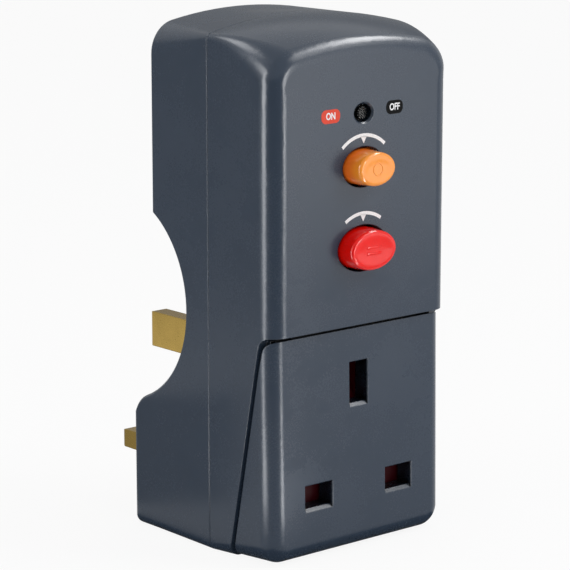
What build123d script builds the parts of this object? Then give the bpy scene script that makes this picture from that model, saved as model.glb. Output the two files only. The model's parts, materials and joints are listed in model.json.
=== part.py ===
from build123d import *
import os
from math import atan2, copysign, cos, radians, sin, sqrt, tan

os.makedirs("parts", exist_ok=True)

# Frame: X to the right seen from the front, Y towards the wall outlet, Z up, in millimetres.
# The origin is on the plug face, midway between the earth pin and the pair of line pins.

# Plug and socket pattern, British 13 A
PIN_PITCH = 22.23
LINE_PIN_X = PIN_PITCH / 2
EARTH_Z = PIN_PITCH / 2
LINE_Z = -PIN_PITCH / 2
EARTH_PIN_WIDTH, EARTH_PIN_HEIGHT, EARTH_PIN_LENGTH = 4.0, 7.95, 22.73
LINE_PIN_WIDTH, LINE_PIN_HEIGHT, LINE_PIN_LENGTH = 6.35, 4.0, 17.7
SLEEVE_LENGTH = 9.3
SLEEVE_WALL = 0.5
EARTH_HOLE_WIDTH, EARTH_HOLE_HEIGHT = 4.9, 8.8
LINE_HOLE_WIDTH, LINE_HOLE_HEIGHT = 7.3, 4.9
MOUTH_EDGE, MOUTH_RAMP = 0.2, 0.7

# Casing
HALF_WIDTH = 24.5
BOTTOM_Z = -24.75
CROWN_Z = 86.05
CROWN_RADIUS = 100.0
WALL = 2.2
PLUG_WALL = 2.4
PARTING_Y = -26.2
UPPER_BACK_Y = -7.06
FRONT_Y = -46.07
FRONT_EDGE_RADIUS = 4.0
BROW_START_Y = -28.0
BROW_RADIUS = 38.7
PARTING_CORNER = 1.5
FRONT_CORNER_GROWTH = 7.9
FRONT_CORNER_POWER = 1.6
BROW_STATIONS = (-31.0, -36.0, -41.0)
ROOM_STATIONS = (-34.0, -40.0)
BACK_CORNER = 7.0
PARTING_FOOT = 1.5
FRONT_FOOT = 6.0
BACK_FOOT = 2.0
LEAST_CORNER = 0.8
PARTING_EDGE = 0.3
UPPER_BACK_EDGE = 0.8
BACK_EDGE_RADIUS = 1.6

# Finger-grip scallops
SCALLOP_Y, SCALLOP_Z, SCALLOP_RADIUS = 4.0, 25.0, 22.3
SCALLOP_LIP = 7.5
SCALLOP_EDGE = 0.5
SPINE_HALF = 9.0
SPINE_TOP_Z = 27.5
SPINE_STEP_Z = 38.0
SPINE_LEAN = 27.0

# Socket cover and the sloping gap round it
SEAM_Z = 23.44
SEAM_GAP = 0.8
SLOPE_TOP_Y, SLOPE_BOTTOM_Y = -42.23, -32.53
SLOPE_CORNER = 3.0
SIDE_GAP = 0.8
COVER_INSET = 0.35
COVER_TOP_Y, COVER_FOOT_Y = -44.85, -45.6
COVER_BACK_Y = -42.9
COLLAR_Y = -41.3
COLLAR_WALL = 1.3
LIP_CLEARANCE = 0.3
LIP_WALL = 1.1
LIP_DEPTH = 2.5

COVER_WALL = 3.0
TONGUE_FRONT_Y, TONGUE_BACK_Y = -43.6, -42.4
BLOCK_FRONT_Y, BLOCK_BACK_Y = -24.7, -22.7
EARTH_WEB_Y = -21.2
SHELF_TOP_Z = 27.6
PIN_HEAD_Y, PIN_TAIL_Y, PIN_TAIL_WIDTH = -4.2, -9.5, 2.4
PIN_HEAD, PIN_TAIL_SHARE, TAIL_GAP = 1.9, 0.6, 0.2
EARTH_TIP, LINE_TIP = 0.8, 1.3
APERTURES = [
    (0.0, EARTH_Z, EARTH_HOLE_WIDTH, EARTH_HOLE_HEIGHT),
    (LINE_PIN_X, LINE_Z, LINE_HOLE_WIDTH, LINE_HOLE_HEIGHT),
    (-LINE_PIN_X, LINE_Z, LINE_HOLE_WIDTH, LINE_HOLE_HEIGHT),
]

# Buttons and window
RESET_Z, RESET_HALF_X, RESET_HALF_Z, RESET_FACE_Y = 56.1, 5.3, 3.8, -50.53
TEST_Z, TEST_HALF_X, TEST_HALF_Z, TEST_FACE_Y = 39.35, 6.5, 4.45, -49.67
RESET_FLANGE_HALF, TEST_FLANGE_HALF, FLANGE_HALF_Z = 7.2, 8.3, 3.4
BUTTON_GAP = 0.4
BUTTON_DRAFT = 0.35
BUTTON_ROUND = 0.7
STEM_RADIUS = 2.2
FLANGE_BACK_Y = -42.4
FLANGE_FRONT_Y = -43.6
WINDOW_Z, WINDOW_HALF_X, WINDOW_HALF_Z, WINDOW_SINK = 67.1, 2.35, 1.85, 0.4
LENS_RADIUS, LENS_SINK, LENS_BEVEL = 1.4, 0.5, 0.45
WINDOW_LEDGE, WINDOW_THICK = 1.05, 1.2

# Shutter
SHUTTER_HALF = 6.0
RAIL, RAIL_GAP = 1.0, 0.35
SHUTTER_FRONT_Y, SHUTTER_BACK_Y = -40.6, -38.8
SHUTTER_POCKET, SHUTTER_POCKET_Z = 2.3, -9.0
BLADE_HALF, BLADE_LOW_Z, BLADE_TOP_Z, COLUMN_TOP_Z = 15.5, -13.9, -8.2, 21.0
RAMP_BACK_Y, RAMP_LOW_Z, RAMP_TOP_Z, RAMP_HALF = -36.0, 6.4, 12.4, 2.9

# Switching mechanism
FRAME_FRONT_Y, FRAME_BACK_Y = -33.0, -29.6
CARRIER_FRONT_Y, CARRIER_BACK_Y = -24.0, -18.0
BRIDGE_X = 10.5
UPPER_TIP_Z, LOWER_TIP_Z = 62.5, 50.0
STRIP, STRIP_HALF = 0.8, 1.5
POST_X, POST_Z, POST_WIDTH, POST_END_Y = 5.5, 61.0, 2.8, -20.6
RUNNING = 0.06
FLAG_Y, FLAG_RADIUS, FLAG_ARM = -34.5, 7.6, 3.6
LATCH_X, LATCH_Y = 9.0, -17.9
LATCH_THICK = 1.2
COIL_Y, COIL_Z = -19.0, 71.5
BOARD_FRONT_Y, BOARD_BACK_Y = -12.3, -10.7

BOARD_POSTS = [(-16.0, 49.0), (16.0, 49.0), (-10.5, 78.0), (10.5, 78.0)]
BOARD_PEGS = [BOARD_POSTS[0], BOARD_POSTS[3]]
BOARD_POST_WIDTH, BOARD_PEG_WIDTH = 3.6, 1.8
PLUNGER_RADIUS, PLUNGER_BACK_X = 2.4, -19.4
COIL_LEFT_X, COIL_RIGHT_X, COIL_FLANGE = -12.0, 2.0, 5.5
LATCH_PIN_RADIUS = 1.0
FLAG_AXLE = 0.8
PUSHROD_Z, PUSHROD_END_Y = 63.5, -33.2
OPENING_SPRING_X, OPENING_SPRING_Z, PEG_WIDTH, SPRING_POCKET = 6.0, 49.5, 1.9, 1.5
TIP, TIP_RADIUS, TIP_SIDES = 0.7, 1.4, 8
STRIP_FOOT_Z = 43.5
OUTPUT_X = 17.2
LEAF_FRONT_Y, LEAF_BACK_Y, LEAF_HALF_Z, LEAF_GAP = -36.8, -36.4, 1.5, 0.3
LEAF_LEFT_X, LEAF_RIGHT_X, LEAF_HOOK = -9.0, 13.5, 1.6
STEM_END_Y = -16.0
NOTCH_FRONT_Y, NOTCH_BACK_Y, NECK_RADIUS = -20.8, -18.9, 1.5

# Fasteners
UPPER_RECESS, LOWER_RECESS = 4.4, 8.0
RECESS_RADIUS, RECESS_BOSS, BOSS_FLOOR = 3.4, 4.6, 1.4
UPPER_BOSS_Y, LOWER_BOSS_Y = -38.0, -30.0
RIB = 1.2
COVER_POST, COVER_SHANK, COVER_SCREW_END = 2.6, 1.2, -34.5
UPPER_SCREW_X, UPPER_SCREW_Z = 18.6, 78.5
LOWER_SCREW_X, LOWER_SCREW_Z = 19.2, -18.7
SCREW_RADIUS, SCREW_HEAD_RADIUS, SCREW_HEAD = 1.45, 2.9, 2.0
SHANK_SIDES, BOSS_SIDES, HEAD_SIDES = 8, 8, 16
CROSS_SPAN, CROSS_WIDTH = 1.1, 0.7
SCREW_CLEARANCE, BLIND_END = 0.15, 1.5
BOSS_RADIUS = 2.9
COVER_SCREW_X, COVER_SCREW_Z = 13.0, 5.0

# Leads and sensing core
LEAD_RADIUS, LEAD_SIDES = 1.1, 6
CORE_Y, CORE_BOTTOM_Z, CORE_TOP_Z = -30.2, 28.4, 34.4
CORE_OUTER, CORE_INNER = 8.5, 5.0
WINDING = 0.75


def block(x0, x1, y0, y1, z0, z1):
    """Box between two corners."""
    return Pos((x0 + x1) / 2, (y0 + y1) / 2, (z0 + z1) / 2) * Box(x1 - x0, y1 - y0, z1 - z0)


def rod_x(y, z, radius, x0, x1):
    """Cylinder along X."""
    return Pos((x0 + x1) / 2, y, z) * Rot(0, 90, 0) * Cylinder(radius, x1 - x0)


def rod_y(x, z, radius, y0, y1):
    """Cylinder along Y."""
    return Pos(x, (y0 + y1) / 2, z) * Rot(90, 0, 0) * Cylinder(radius, y1 - y0)


def prism_y(x, z, radius, sides, y0, y1):
    """Regular prism along Y, its corners at the radius."""
    section = Pos(x, y1, z) * Plane.XZ.location * RegularPolygon(radius, sides)
    return extrude(section, y1 - y0, dir=(0, -1, 0))


def rod_z(x, y, radius, z0, z1):
    """Cylinder along Z."""
    return Pos(x, y, (z0 + z1) / 2) * Cylinder(radius, z1 - z0)


def oval(z, half_x, half_z, y0, y1, draft=0.0):
    """Elliptical boss along Y, smaller by the draft at its front end y0."""
    front = Pos(0, y0, z) * Plane.XZ.location * Ellipse(half_x - draft, half_z - draft)
    back = Pos(0, y1, z) * Plane.XZ.location * Ellipse(half_x, half_z)
    return loft([front, back])


def both_sides(shape):
    """The shape and its mirror image in the plane X = 0."""
    return shape + mirror(shape, about=Plane.YZ)


def casing_outline(y, crown, top_corner, foot_corner, inset):
    """Closed front-view outline at depth y: crowned top, upright sides, flat bottom."""
    half = HALF_WIDTH - inset
    bottom = BOTTOM_Z + inset
    top_corner = max(top_corner - inset, LEAST_CORNER)
    foot_corner = max(foot_corner - inset, LEAST_CORNER)
    arc_radius = CROWN_RADIUS - inset
    arc_z = crown - CROWN_RADIUS
    corner_x = half - top_corner
    corner_z = arc_z + sqrt((arc_radius - top_corner) ** 2 - corner_x ** 2)
    turn = atan2(corner_z - arc_z, corner_x)
    crown_x, crown_z = arc_radius * cos(turn), arc_z + arc_radius * sin(turn)
    middle_x = corner_x + top_corner * cos(turn / 2)
    middle_z = corner_z + top_corner * sin(turn / 2)
    foot_x, foot_z = half - foot_corner, bottom + foot_corner
    low_x, low_z = foot_x + foot_corner * sqrt(0.5), foot_z - foot_corner * sqrt(0.5)
    return Wire([
        Line((foot_x, y, bottom), (-foot_x, y, bottom)),
        ThreePointArc((-foot_x, y, bottom), (-low_x, y, low_z), (-half, y, foot_z)),
        Line((-half, y, foot_z), (-half, y, corner_z)),
        ThreePointArc((-half, y, corner_z), (-middle_x, y, middle_z), (-crown_x, y, crown_z)),
        ThreePointArc((-crown_x, y, crown_z), (0, y, arc_z + arc_radius), (crown_x, y, crown_z)),
        ThreePointArc((crown_x, y, crown_z), (middle_x, y, middle_z), (half, y, corner_z)),
        Line((half, y, corner_z), (half, y, foot_z)),
        ThreePointArc((half, y, foot_z), (low_x, y, low_z), (foot_x, y, bottom)),
    ])


def front_outline(y, inset):
    """Outline forward of the parting line: the brow falls and the corners open out towards the face."""
    reach = max(BROW_START_Y - y, 0.0)
    crown = CROWN_Z - (BROW_RADIUS - sqrt(BROW_RADIUS ** 2 - reach ** 2))
    share = (PARTING_Y - y) / (PARTING_Y - FRONT_Y)
    top_corner = PARTING_CORNER + FRONT_CORNER_GROWTH * share ** FRONT_CORNER_POWER
    foot_corner = PARTING_FOOT + (FRONT_FOOT - PARTING_FOOT) * share
    return casing_outline(y, crown, top_corner, foot_corner, inset)


def back_outline(y, inset):
    """Outline behind the parting line: the top corners open out towards the back."""
    share = min((y - PARTING_Y) / (UPPER_BACK_Y - PARTING_Y), 1.0)
    top_corner = PARTING_CORNER + (BACK_CORNER - PARTING_CORNER) * share
    foot_corner = PARTING_FOOT + (BACK_FOOT - PARTING_FOOT) * share
    return casing_outline(y, CROWN_Z, top_corner, foot_corner, inset)


def side_prism(face_outline, x0, x1):
    """Prism between x0 and x1 from a closed outline of (Y, Z) points or edges."""
    face = Plane.YZ.offset(x0) * make_face(face_outline)
    return extrude(face, x1 - x0, dir=(1, 0, 0))


def slope_y(z, shift):
    """Depth of the sloping gap at height z, moved forward by the shift."""
    share = (SEAM_Z - z) / (SEAM_Z - BOTTOM_Z)
    return SLOPE_TOP_Y + (SLOPE_BOTTOM_Y - SLOPE_TOP_Y) * share - shift


def wedge(shift, drop):
    """Everything in front of the sloping gap and below the seam, with the rounded corner between them."""
    top, low, far = SEAM_Z - drop, BOTTOM_Z - 5.0, FRONT_Y - 10.0
    corners = [(far, low), (far, top), (slope_y(top, shift), top), (slope_y(low, shift), low)]
    face = make_face(Polyline(*corners, close=True))
    bend = face.vertices().sort_by(Axis.Y)[-2:].sort_by(Axis.X)[-1]
    face = fillet(bend, SLOPE_CORNER)
    return extrude(Plane.YZ.offset(-HALF_WIDTH - 5) * face, 2 * HALF_WIDTH + 10, dir=(1, 0, 0))


def scallop_outline(grow):
    """Closed (Y, Z) outline of all that lies behind the scalloped side profile, moved inwards by grow."""
    radius = SCALLOP_RADIUS + grow
    lip = SCALLOP_LIP - grow
    step = UPPER_BACK_Y - grow
    top_z = SCALLOP_Z + sqrt(radius ** 2 - (step - SCALLOP_Y) ** 2)
    lip_y, lip_z = -grow - lip, SCALLOP_Z - sqrt((radius + lip) ** 2 - (SCALLOP_Y + grow + lip) ** 2)
    reach = radius + lip
    touch = (lip_y + lip * (SCALLOP_Y - lip_y) / reach, lip_z + lip * (SCALLOP_Z - lip_z) / reach)
    lip_turn = atan2(SCALLOP_Z - lip_z, SCALLOP_Y - lip_y) / 2
    lip_middle = (lip_y + lip * cos(lip_turn), lip_z + lip * sin(lip_turn))
    far, high = 10.0, CROWN_Z + 10.0
    return [
        Line((far, high), (step, high)),
        Line((step, high), (step, top_z)),
        ThreePointArc((step, top_z), (SCALLOP_Y - radius, SCALLOP_Z), touch),
        ThreePointArc(touch, lip_middle, (-grow, lip_z)),
        Line((-grow, lip_z), (far, lip_z)),
        Line((far, lip_z), (far, high)),
    ]


def scallop_void(grow, x0, x1):
    """Everything behind the scalloped side profile, moved inwards by grow."""
    return side_prism(scallop_outline(grow), x0, x1)


def scallop_bevel():
    """What the bevelled outer edge of the right-hand scallop takes away."""
    inner = Plane.YZ.offset(HALF_WIDTH - SCALLOP_EDGE) * make_face(scallop_outline(0))
    outer = Plane.YZ.offset(HALF_WIDTH) * make_face(scallop_outline(SCALLOP_EDGE))
    return loft([inner, outer], ruled=True)


def step_void(grow):
    """Everything behind the spine and the upper back face, moved inwards by grow."""
    far, high = 10.0, CROWN_Z + 10.0
    slope = grow * tan(radians(SPINE_LEAN))
    corners = [
        (far, high),
        (UPPER_BACK_Y - grow, high),
        (UPPER_BACK_Y - grow, SPINE_STEP_Z - slope),
        (-grow, SPINE_TOP_Z - slope),
        (far, SPINE_TOP_Z - slope),
    ]
    outline = Polyline(*corners, close=True)
    return side_prism(outline, -HALF_WIDTH - 5, HALF_WIDTH + 5)


def spring(radius, wire, length):
    """Sleeve with the inner and outer diameter of a coil spring, standing on the origin along Z."""
    return rod_z(0, 0, radius + wire, 0, length) - rod_z(0, 0, radius - wire, 0, length)


def at_corners(make):
    """A fitting made at the four casing screws, from a function of (x, z, upper)."""
    fittings = []
    for side in (-1, 1):
        fittings.append(make(side * UPPER_SCREW_X, UPPER_SCREW_Z, True))
        fittings.append(make(side * LOWER_SCREW_X, LOWER_SCREW_Z, False))
    return fittings


def rear_form():
    """Outer form of the back shell, bevelled at its upper edges and rounded round the plug face."""
    low_y = UPPER_BACK_Y - UPPER_BACK_EDGE
    stations = [
        (PARTING_Y, PARTING_EDGE),
        (PARTING_Y + PARTING_EDGE, 0),
        (low_y, 0),
        (UPPER_BACK_Y, UPPER_BACK_EDGE),
    ]
    form = Solid.make_loft([back_outline(y, inset) for y, inset in stations], ruled=True)
    low = extrude(make_face(back_outline(low_y, 0)), -low_y, dir=(0, 1, 0))
    low = fillet(low.faces().sort_by(Axis.Y)[-1].edges(), BACK_EDGE_RADIUS)
    low -= block(-HALF_WIDTH - 1, HALF_WIDTH + 1, low_y - 1, 1, SPINE_STEP_Z + 1, CROWN_Z + 1)
    return form + low


def rear_room():
    """Inner form of the back shell."""
    room = Solid.make_loft([back_outline(y, WALL) for y in (PARTING_Y, UPPER_BACK_Y)], ruled=True)
    deep = -PLUG_WALL - UPPER_BACK_Y
    return room + extrude(make_face(back_outline(UPPER_BACK_Y, WALL)), deep, dir=(0, 1, 0))


def rear_housing():
    """Back shell with the plug wall, the spine, the scallops, screw recesses and board posts."""
    shell = rear_form() - step_void(0) - both_sides(scallop_void(0, SPINE_HALF, HALF_WIDTH + 5))
    room = rear_room() - step_void(WALL) - both_sides(scallop_void(WALL, SPINE_HALF - WALL, HALF_WIDTH))
    shell -= both_sides(scallop_bevel())
    shell -= room
    shell += at_corners(rear_boss)
    shell -= at_corners(rear_screw_hole)
    for x, z in BOARD_POSTS:
        shell += bar(x, z, BOARD_POST_WIDTH, BOARD_POST_WIDTH, BOARD_BACK_Y, UPPER_BACK_Y - WALL / 2)
    for x, z in BOARD_PEGS:
        shell += bar(x, z, BOARD_PEG_WIDTH, BOARD_PEG_WIDTH, BOARD_FRONT_Y, BOARD_BACK_Y)
    shell -= pin_bars(-PLUG_WALL - 1, 1)
    return shell


def screw_seat_y(upper):
    """Depth of the face under a casing screw's head."""
    return UPPER_BACK_Y - UPPER_RECESS if upper else -LOWER_RECESS


def rear_boss(x, z, upper):
    """Screw column in the back shell, wider round the recess."""
    face_y = UPPER_BACK_Y if upper else 0.0
    seat = screw_seat_y(upper)
    column = prism_y(x, z, BOSS_RADIUS, BOSS_SIDES, PARTING_Y, seat)
    return column + prism_y(x, z, RECESS_BOSS, BOSS_SIDES, seat - BOSS_FLOOR, face_y - 1)


def rear_screw_hole(x, z, upper):
    """Recess for the head and clearance for the shank."""
    seat = screw_seat_y(upper)
    shank = prism_y(x, z, SCREW_RADIUS + SCREW_CLEARANCE, SHANK_SIDES, PARTING_Y - 1, seat + 1)
    return rod_y(x, z, RECESS_RADIUS, seat, 1) + shank


def front_boss(x, z, upper):
    """Blind screw column in the front shell with a rib to the side wall."""
    end = UPPER_BOSS_Y if upper else LOWER_BOSS_Y
    side = copysign(HALF_WIDTH - WALL / 2, x)
    low_x, high_x = min(x, side), max(x, side)
    column = prism_y(x, z, BOSS_RADIUS, BOSS_SIDES, end, PARTING_Y)
    column += block(low_x, high_x, end, PARTING_Y, z - RIB / 2, z + RIB / 2)
    return column - prism_y(x, z, SCREW_RADIUS, SHANK_SIDES, end + BLIND_END, PARTING_Y + 1)


def front_housing():
    """Front shell: crowned brow, button and window holes, and the sloping mouth for the socket cover."""
    shell = Solid.make_loft([front_outline(y, 0) for y in (PARTING_Y, *BROW_STATIONS, FRONT_Y)])
    shell = fillet(shell.faces().sort_by(Axis.Y)[0].edges(), FRONT_EDGE_RADIUS)
    room_front = FRONT_Y + WALL
    room = [front_outline(y, WALL) for y in (PARTING_Y, *ROOM_STATIONS, room_front)]
    shell -= Solid.make_loft(room, ruled=True)
    shell -= wedge(0, 0)
    shell += at_corners(front_boss)
    back = room_front + 1
    shell -= oval(RESET_Z, RESET_HALF_X + BUTTON_GAP, RESET_HALF_Z + BUTTON_GAP, FRONT_Y - 1, back)
    shell -= oval(TEST_Z, TEST_HALF_X + BUTTON_GAP, TEST_HALF_Z + BUTTON_GAP, FRONT_Y - 1, back)
    shell -= oval(WINDOW_Z, WINDOW_HALF_X, WINDOW_HALF_Z, FRONT_Y - 1, back)
    sink_y = FRONT_Y + WINDOW_SINK
    return shell - oval(WINDOW_Z, WINDOW_HALF_X, WINDOW_HALF_Z, FRONT_Y, sink_y, -WINDOW_SINK)


def cover_outline(y, inset):
    """Outline of the socket cover, which runs on past the seam before it is trimmed."""
    share = (PARTING_Y - y) / (PARTING_Y - FRONT_Y)
    foot_corner = PARTING_FOOT + (FRONT_FOOT - PARTING_FOOT) * share
    return casing_outline(y, SEAM_Z + 15.0, FRONT_FOOT, foot_corner, inset)


def cover_form(inset, front):
    """Solid of the cover's outline from well behind the gap to the front depth."""
    return Solid.make_loft([cover_outline(y, inset) for y in (PARTING_Y, front)], ruled=True)


def socket_cover():
    """Wedge-shaped socket face with chamfered apertures, guide collars, shutter rails and screw posts."""
    form = cover_form(COVER_INSET, FRONT_Y - 1)
    lean = (COVER_FOOT_Y - COVER_TOP_Y) / (SEAM_Z - BOTTOM_Z)
    high, low = SEAM_Z + 20.0, BOTTOM_Z - 10.0
    lean_edge = [(COVER_TOP_Y - lean * 20.0, high), (COVER_FOOT_Y + lean * 10.0, low)]
    far = FRONT_Y - 10.0
    form -= side_prism(Polyline((far, high), *lean_edge, (far, low), close=True), -40, 40)
    shell = fillet(form.faces().sort_by(Axis.Y)[0].edges(), FRONT_EDGE_RADIUS - COVER_INSET)
    shell -= cover_form(COVER_WALL, COVER_BACK_Y)
    shell = shell & wedge(SIDE_GAP, SEAM_GAP)
    lip_inset = WALL + LIP_CLEARANCE
    lip = cover_form(lip_inset, COVER_BACK_Y) - cover_form(lip_inset + LIP_WALL, COVER_BACK_Y)
    shell += lip & wedge(-LIP_DEPTH, SEAM_GAP)
    shell += block(-17, 17, TONGUE_FRONT_Y, TONGUE_BACK_Y, SEAM_Z - 3, SEAM_Z + 2.5)
    for x, z, width, height in APERTURES:
        shell += bar(x, z, width + 2 * COLLAR_WALL, height + 2 * COLLAR_WALL, COVER_BACK_Y - 1, COLLAR_Y)
    for side in (-1, 1):
        rail = side * (SHUTTER_HALF + RAIL_GAP + RAIL / 2)
        shell += block(rail - RAIL / 2, rail + RAIL / 2, COVER_BACK_Y - 1, SHUTTER_BACK_Y + 0.8, -5, 21)
        shell += rod_y(side * COVER_SCREW_X, COVER_SCREW_Z, COVER_POST, COVER_BACK_Y - 1, BLOCK_FRONT_Y)
        shell -= rod_y(side * COVER_SCREW_X, COVER_SCREW_Z, COVER_SHANK, COVER_SCREW_END, BLOCK_FRONT_Y + 1)
    for x, z, width, height in APERTURES:
        shell -= bar(x, z, width, height, FRONT_Y - 1, COLLAR_Y + 1)
    mouth = shell.faces().sort_by(Axis.Y)[0]
    shell = chamfer([edge for wire in mouth.inner_wires() for edge in wire.edges()], MOUTH_EDGE)
    for x, z, width, height in APERTURES:
        low = z - height / 2
        face = COVER_TOP_Y + lean * (SEAM_Z - low)
        ramp = [(face - 1, low - MOUTH_RAMP - 1), (face + MOUTH_RAMP, low), (face - 1, low)]
        shell -= side_prism(Polyline(*ramp, close=True), x - width / 2, x + width / 2)
    return shell


def indicator_window():
    """Clear disc behind the front wall with a round lens that stands in the oval hole."""
    back = FRONT_Y + WALL
    lens = rod_y(0, WINDOW_Z, LENS_RADIUS, FRONT_Y + LENS_SINK, back)
    lens = chamfer(lens.faces().sort_by(Axis.Y)[0].edges(), LENS_BEVEL)
    return lens + rod_y(0, WINDOW_Z, WINDOW_HALF_X + WINDOW_LEDGE, back, back + WINDOW_THICK)


def pin_bars(y0, y1):
    """The three pin sections, as bars between two depths."""
    bars = bar(0, EARTH_Z, EARTH_PIN_WIDTH, EARTH_PIN_HEIGHT, y0, y1)
    return bars + both_sides(bar(LINE_PIN_X, LINE_Z, LINE_PIN_WIDTH, LINE_PIN_HEIGHT, y0, y1))


def bar(x, z, width, height, y0, y1):
    """Rectangular bar along Y, centred on x and z."""
    return block(x - width / 2, x + width / 2, y0, y1, z - height / 2, z + height / 2)


def plug_pin(x, z, width, height, length, tip, waist):
    """Pin with a rounded tip, a head behind the plug wall and a flat tail."""
    pin = bar(x, z, width, height, -PLUG_WALL, length)
    pin = fillet(pin.faces().sort_by(Axis.Y)[-1].edges(), tip)
    pin += bar(x, z, width + PIN_HEAD, height + PIN_HEAD, PIN_HEAD_Y, -PLUG_WALL)
    pin += bar(x, z, PIN_TAIL_WIDTH, height * PIN_TAIL_SHARE, PIN_TAIL_Y, PIN_HEAD_Y)
    if waist:
        sleeve_room = bar(x, z, width, height, 0, SLEEVE_LENGTH)
        pin -= sleeve_room - bar(x, z, width - 2 * SLEEVE_WALL, height - 2 * SLEEVE_WALL, 0, SLEEVE_LENGTH)
    return pin


def earth_pin():
    """Longer, upright earth pin."""
    return plug_pin(0, EARTH_Z, EARTH_PIN_WIDTH, EARTH_PIN_HEIGHT, EARTH_PIN_LENGTH, EARTH_TIP, False)


def line_pin(side):
    """Live or neutral pin with a waist for its sleeve."""
    x = side * LINE_PIN_X
    return plug_pin(x, LINE_Z, LINE_PIN_WIDTH, LINE_PIN_HEIGHT, LINE_PIN_LENGTH, LINE_TIP, True)


def pin_sleeve(side):
    """Insulating sleeve, flush with the pin."""
    x = side * LINE_PIN_X
    sleeve = bar(x, LINE_Z, LINE_PIN_WIDTH, LINE_PIN_HEIGHT, 0, SLEEVE_LENGTH)
    core_width, core_height = LINE_PIN_WIDTH - 2 * SLEEVE_WALL, LINE_PIN_HEIGHT - 2 * SLEEVE_WALL
    return sleeve - bar(x, LINE_Z, core_width, core_height, 0, SLEEVE_LENGTH)


def pin_retainer():
    """T-shaped plate that holds the pin heads against the plug wall."""
    front = PIN_HEAD_Y - 2.0
    plate = block(-15.8, 15.8, front, PIN_HEAD_Y, -14.5, -6.5)
    plate += block(-6.0, 6.0, front, PIN_HEAD_Y, -6.5, 17.5)
    plate = chamfer(plate.edges().filter_by(Axis.Y), 1.0)
    plate += block(-2.0, 2.0, PIN_HEAD_Y, -PLUG_WALL, -14.0, -1.0)
    slots = [(-LINE_PIN_X, LINE_Z, LINE_PIN_HEIGHT), (LINE_PIN_X, LINE_Z, LINE_PIN_HEIGHT)]
    for x, z, height in [*slots, (0, EARTH_Z, EARTH_PIN_HEIGHT)]:
        tail = height * PIN_TAIL_SHARE
        plate -= bar(x, z, PIN_TAIL_WIDTH + 2 * TAIL_GAP, tail + 2 * TAIL_GAP, front - 1, PIN_HEAD_Y)
    return plate


def earth_contact():
    """Two leaves for the earth pin, a web behind them and a tail to the plug's earth pin."""
    gap = EARTH_PIN_WIDTH / 2
    leaf_low, leaf_high = EARTH_Z - 3.7, EARTH_Z + 3.7
    contact = block(-gap - STRIP, gap + STRIP, EARTH_WEB_Y, EARTH_WEB_Y + STRIP, leaf_low, leaf_high)
    contact += block(-PIN_TAIL_WIDTH / 2, PIN_TAIL_WIDTH / 2, EARTH_WEB_Y + STRIP, PIN_TAIL_Y,
                     EARTH_Z - 2.4, EARTH_Z + 2.4)
    leaf = block(gap, gap + STRIP, RAMP_BACK_Y + 0.6, EARTH_WEB_Y, leaf_low, leaf_high)
    leaf += block(gap + STRIP, gap + 3.0, BLOCK_FRONT_Y - STRIP, BLOCK_FRONT_Y, leaf_low, leaf_high)
    return contact + both_sides(leaf)


def line_contact(side):
    """Two leaves for a line pin, a web behind them and a tab out to the strip."""
    gap = LINE_PIN_HEIGHT / 2
    x = LINE_PIN_X
    web_front = BLOCK_FRONT_Y - STRIP
    contact = block(x - 3, x + 3, web_front, BLOCK_FRONT_Y, LINE_Z - gap - STRIP, LINE_Z + gap + STRIP)
    contact += block(x, OUTPUT_X, web_front, BLOCK_FRONT_Y, LINE_Z - 2, LINE_Z + 2)
    for low in (LINE_Z - gap - STRIP, LINE_Z + gap):
        contact += block(x - 3, x + 3, SHUTTER_BACK_Y + 0.6, web_front, low, low + STRIP)
    return contact if side > 0 else mirror(contact, about=Plane.YZ)


def contact_block():
    """Moulding that carries the contacts, with cheeks beside them and a shelf for the sensing core."""
    plate = block(-16, 16, BLOCK_FRONT_Y, BLOCK_BACK_Y, -15.5, 17.5)
    plate = chamfer(plate.edges().filter_by(Axis.Y), 1.5)
    plate -= bar(0, EARTH_Z, EARTH_PIN_WIDTH + 2 * STRIP + 0.4, 7.8, BLOCK_FRONT_Y - 1, BLOCK_BACK_Y + 1)
    shelf = block(-9.5, 9.5, -39.2, -21.2, SHELF_TOP_Z - 2, SHELF_TOP_Z)
    shelf -= rod_z(0, CORE_Y, CORE_INNER - 0.5, SHELF_TOP_Z - 3, SHELF_TOP_Z + 1)
    plate += shelf
    web = block(7.0, 9.5, BLOCK_FRONT_Y, BLOCK_BACK_Y, 17.0, SHELF_TOP_Z - 1)
    cheek = block(LINE_PIN_X + 3.3, LINE_PIN_X + 4.2, -31, BLOCK_FRONT_Y, LINE_Z + 2.2, LINE_Z + 4)
    cheek += block(LINE_PIN_X - 4.2, LINE_PIN_X - 3.3, -31, BLOCK_FRONT_Y, LINE_Z - 3.4, LINE_Z + 4)
    plate += both_sides(web + cheek)
    for x in (-COVER_SCREW_X, COVER_SCREW_X):
        plate -= rod_y(x, COVER_SCREW_Z, COVER_SHANK + 0.15, BLOCK_FRONT_Y - 1, BLOCK_BACK_Y + 1)
    return plate


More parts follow.
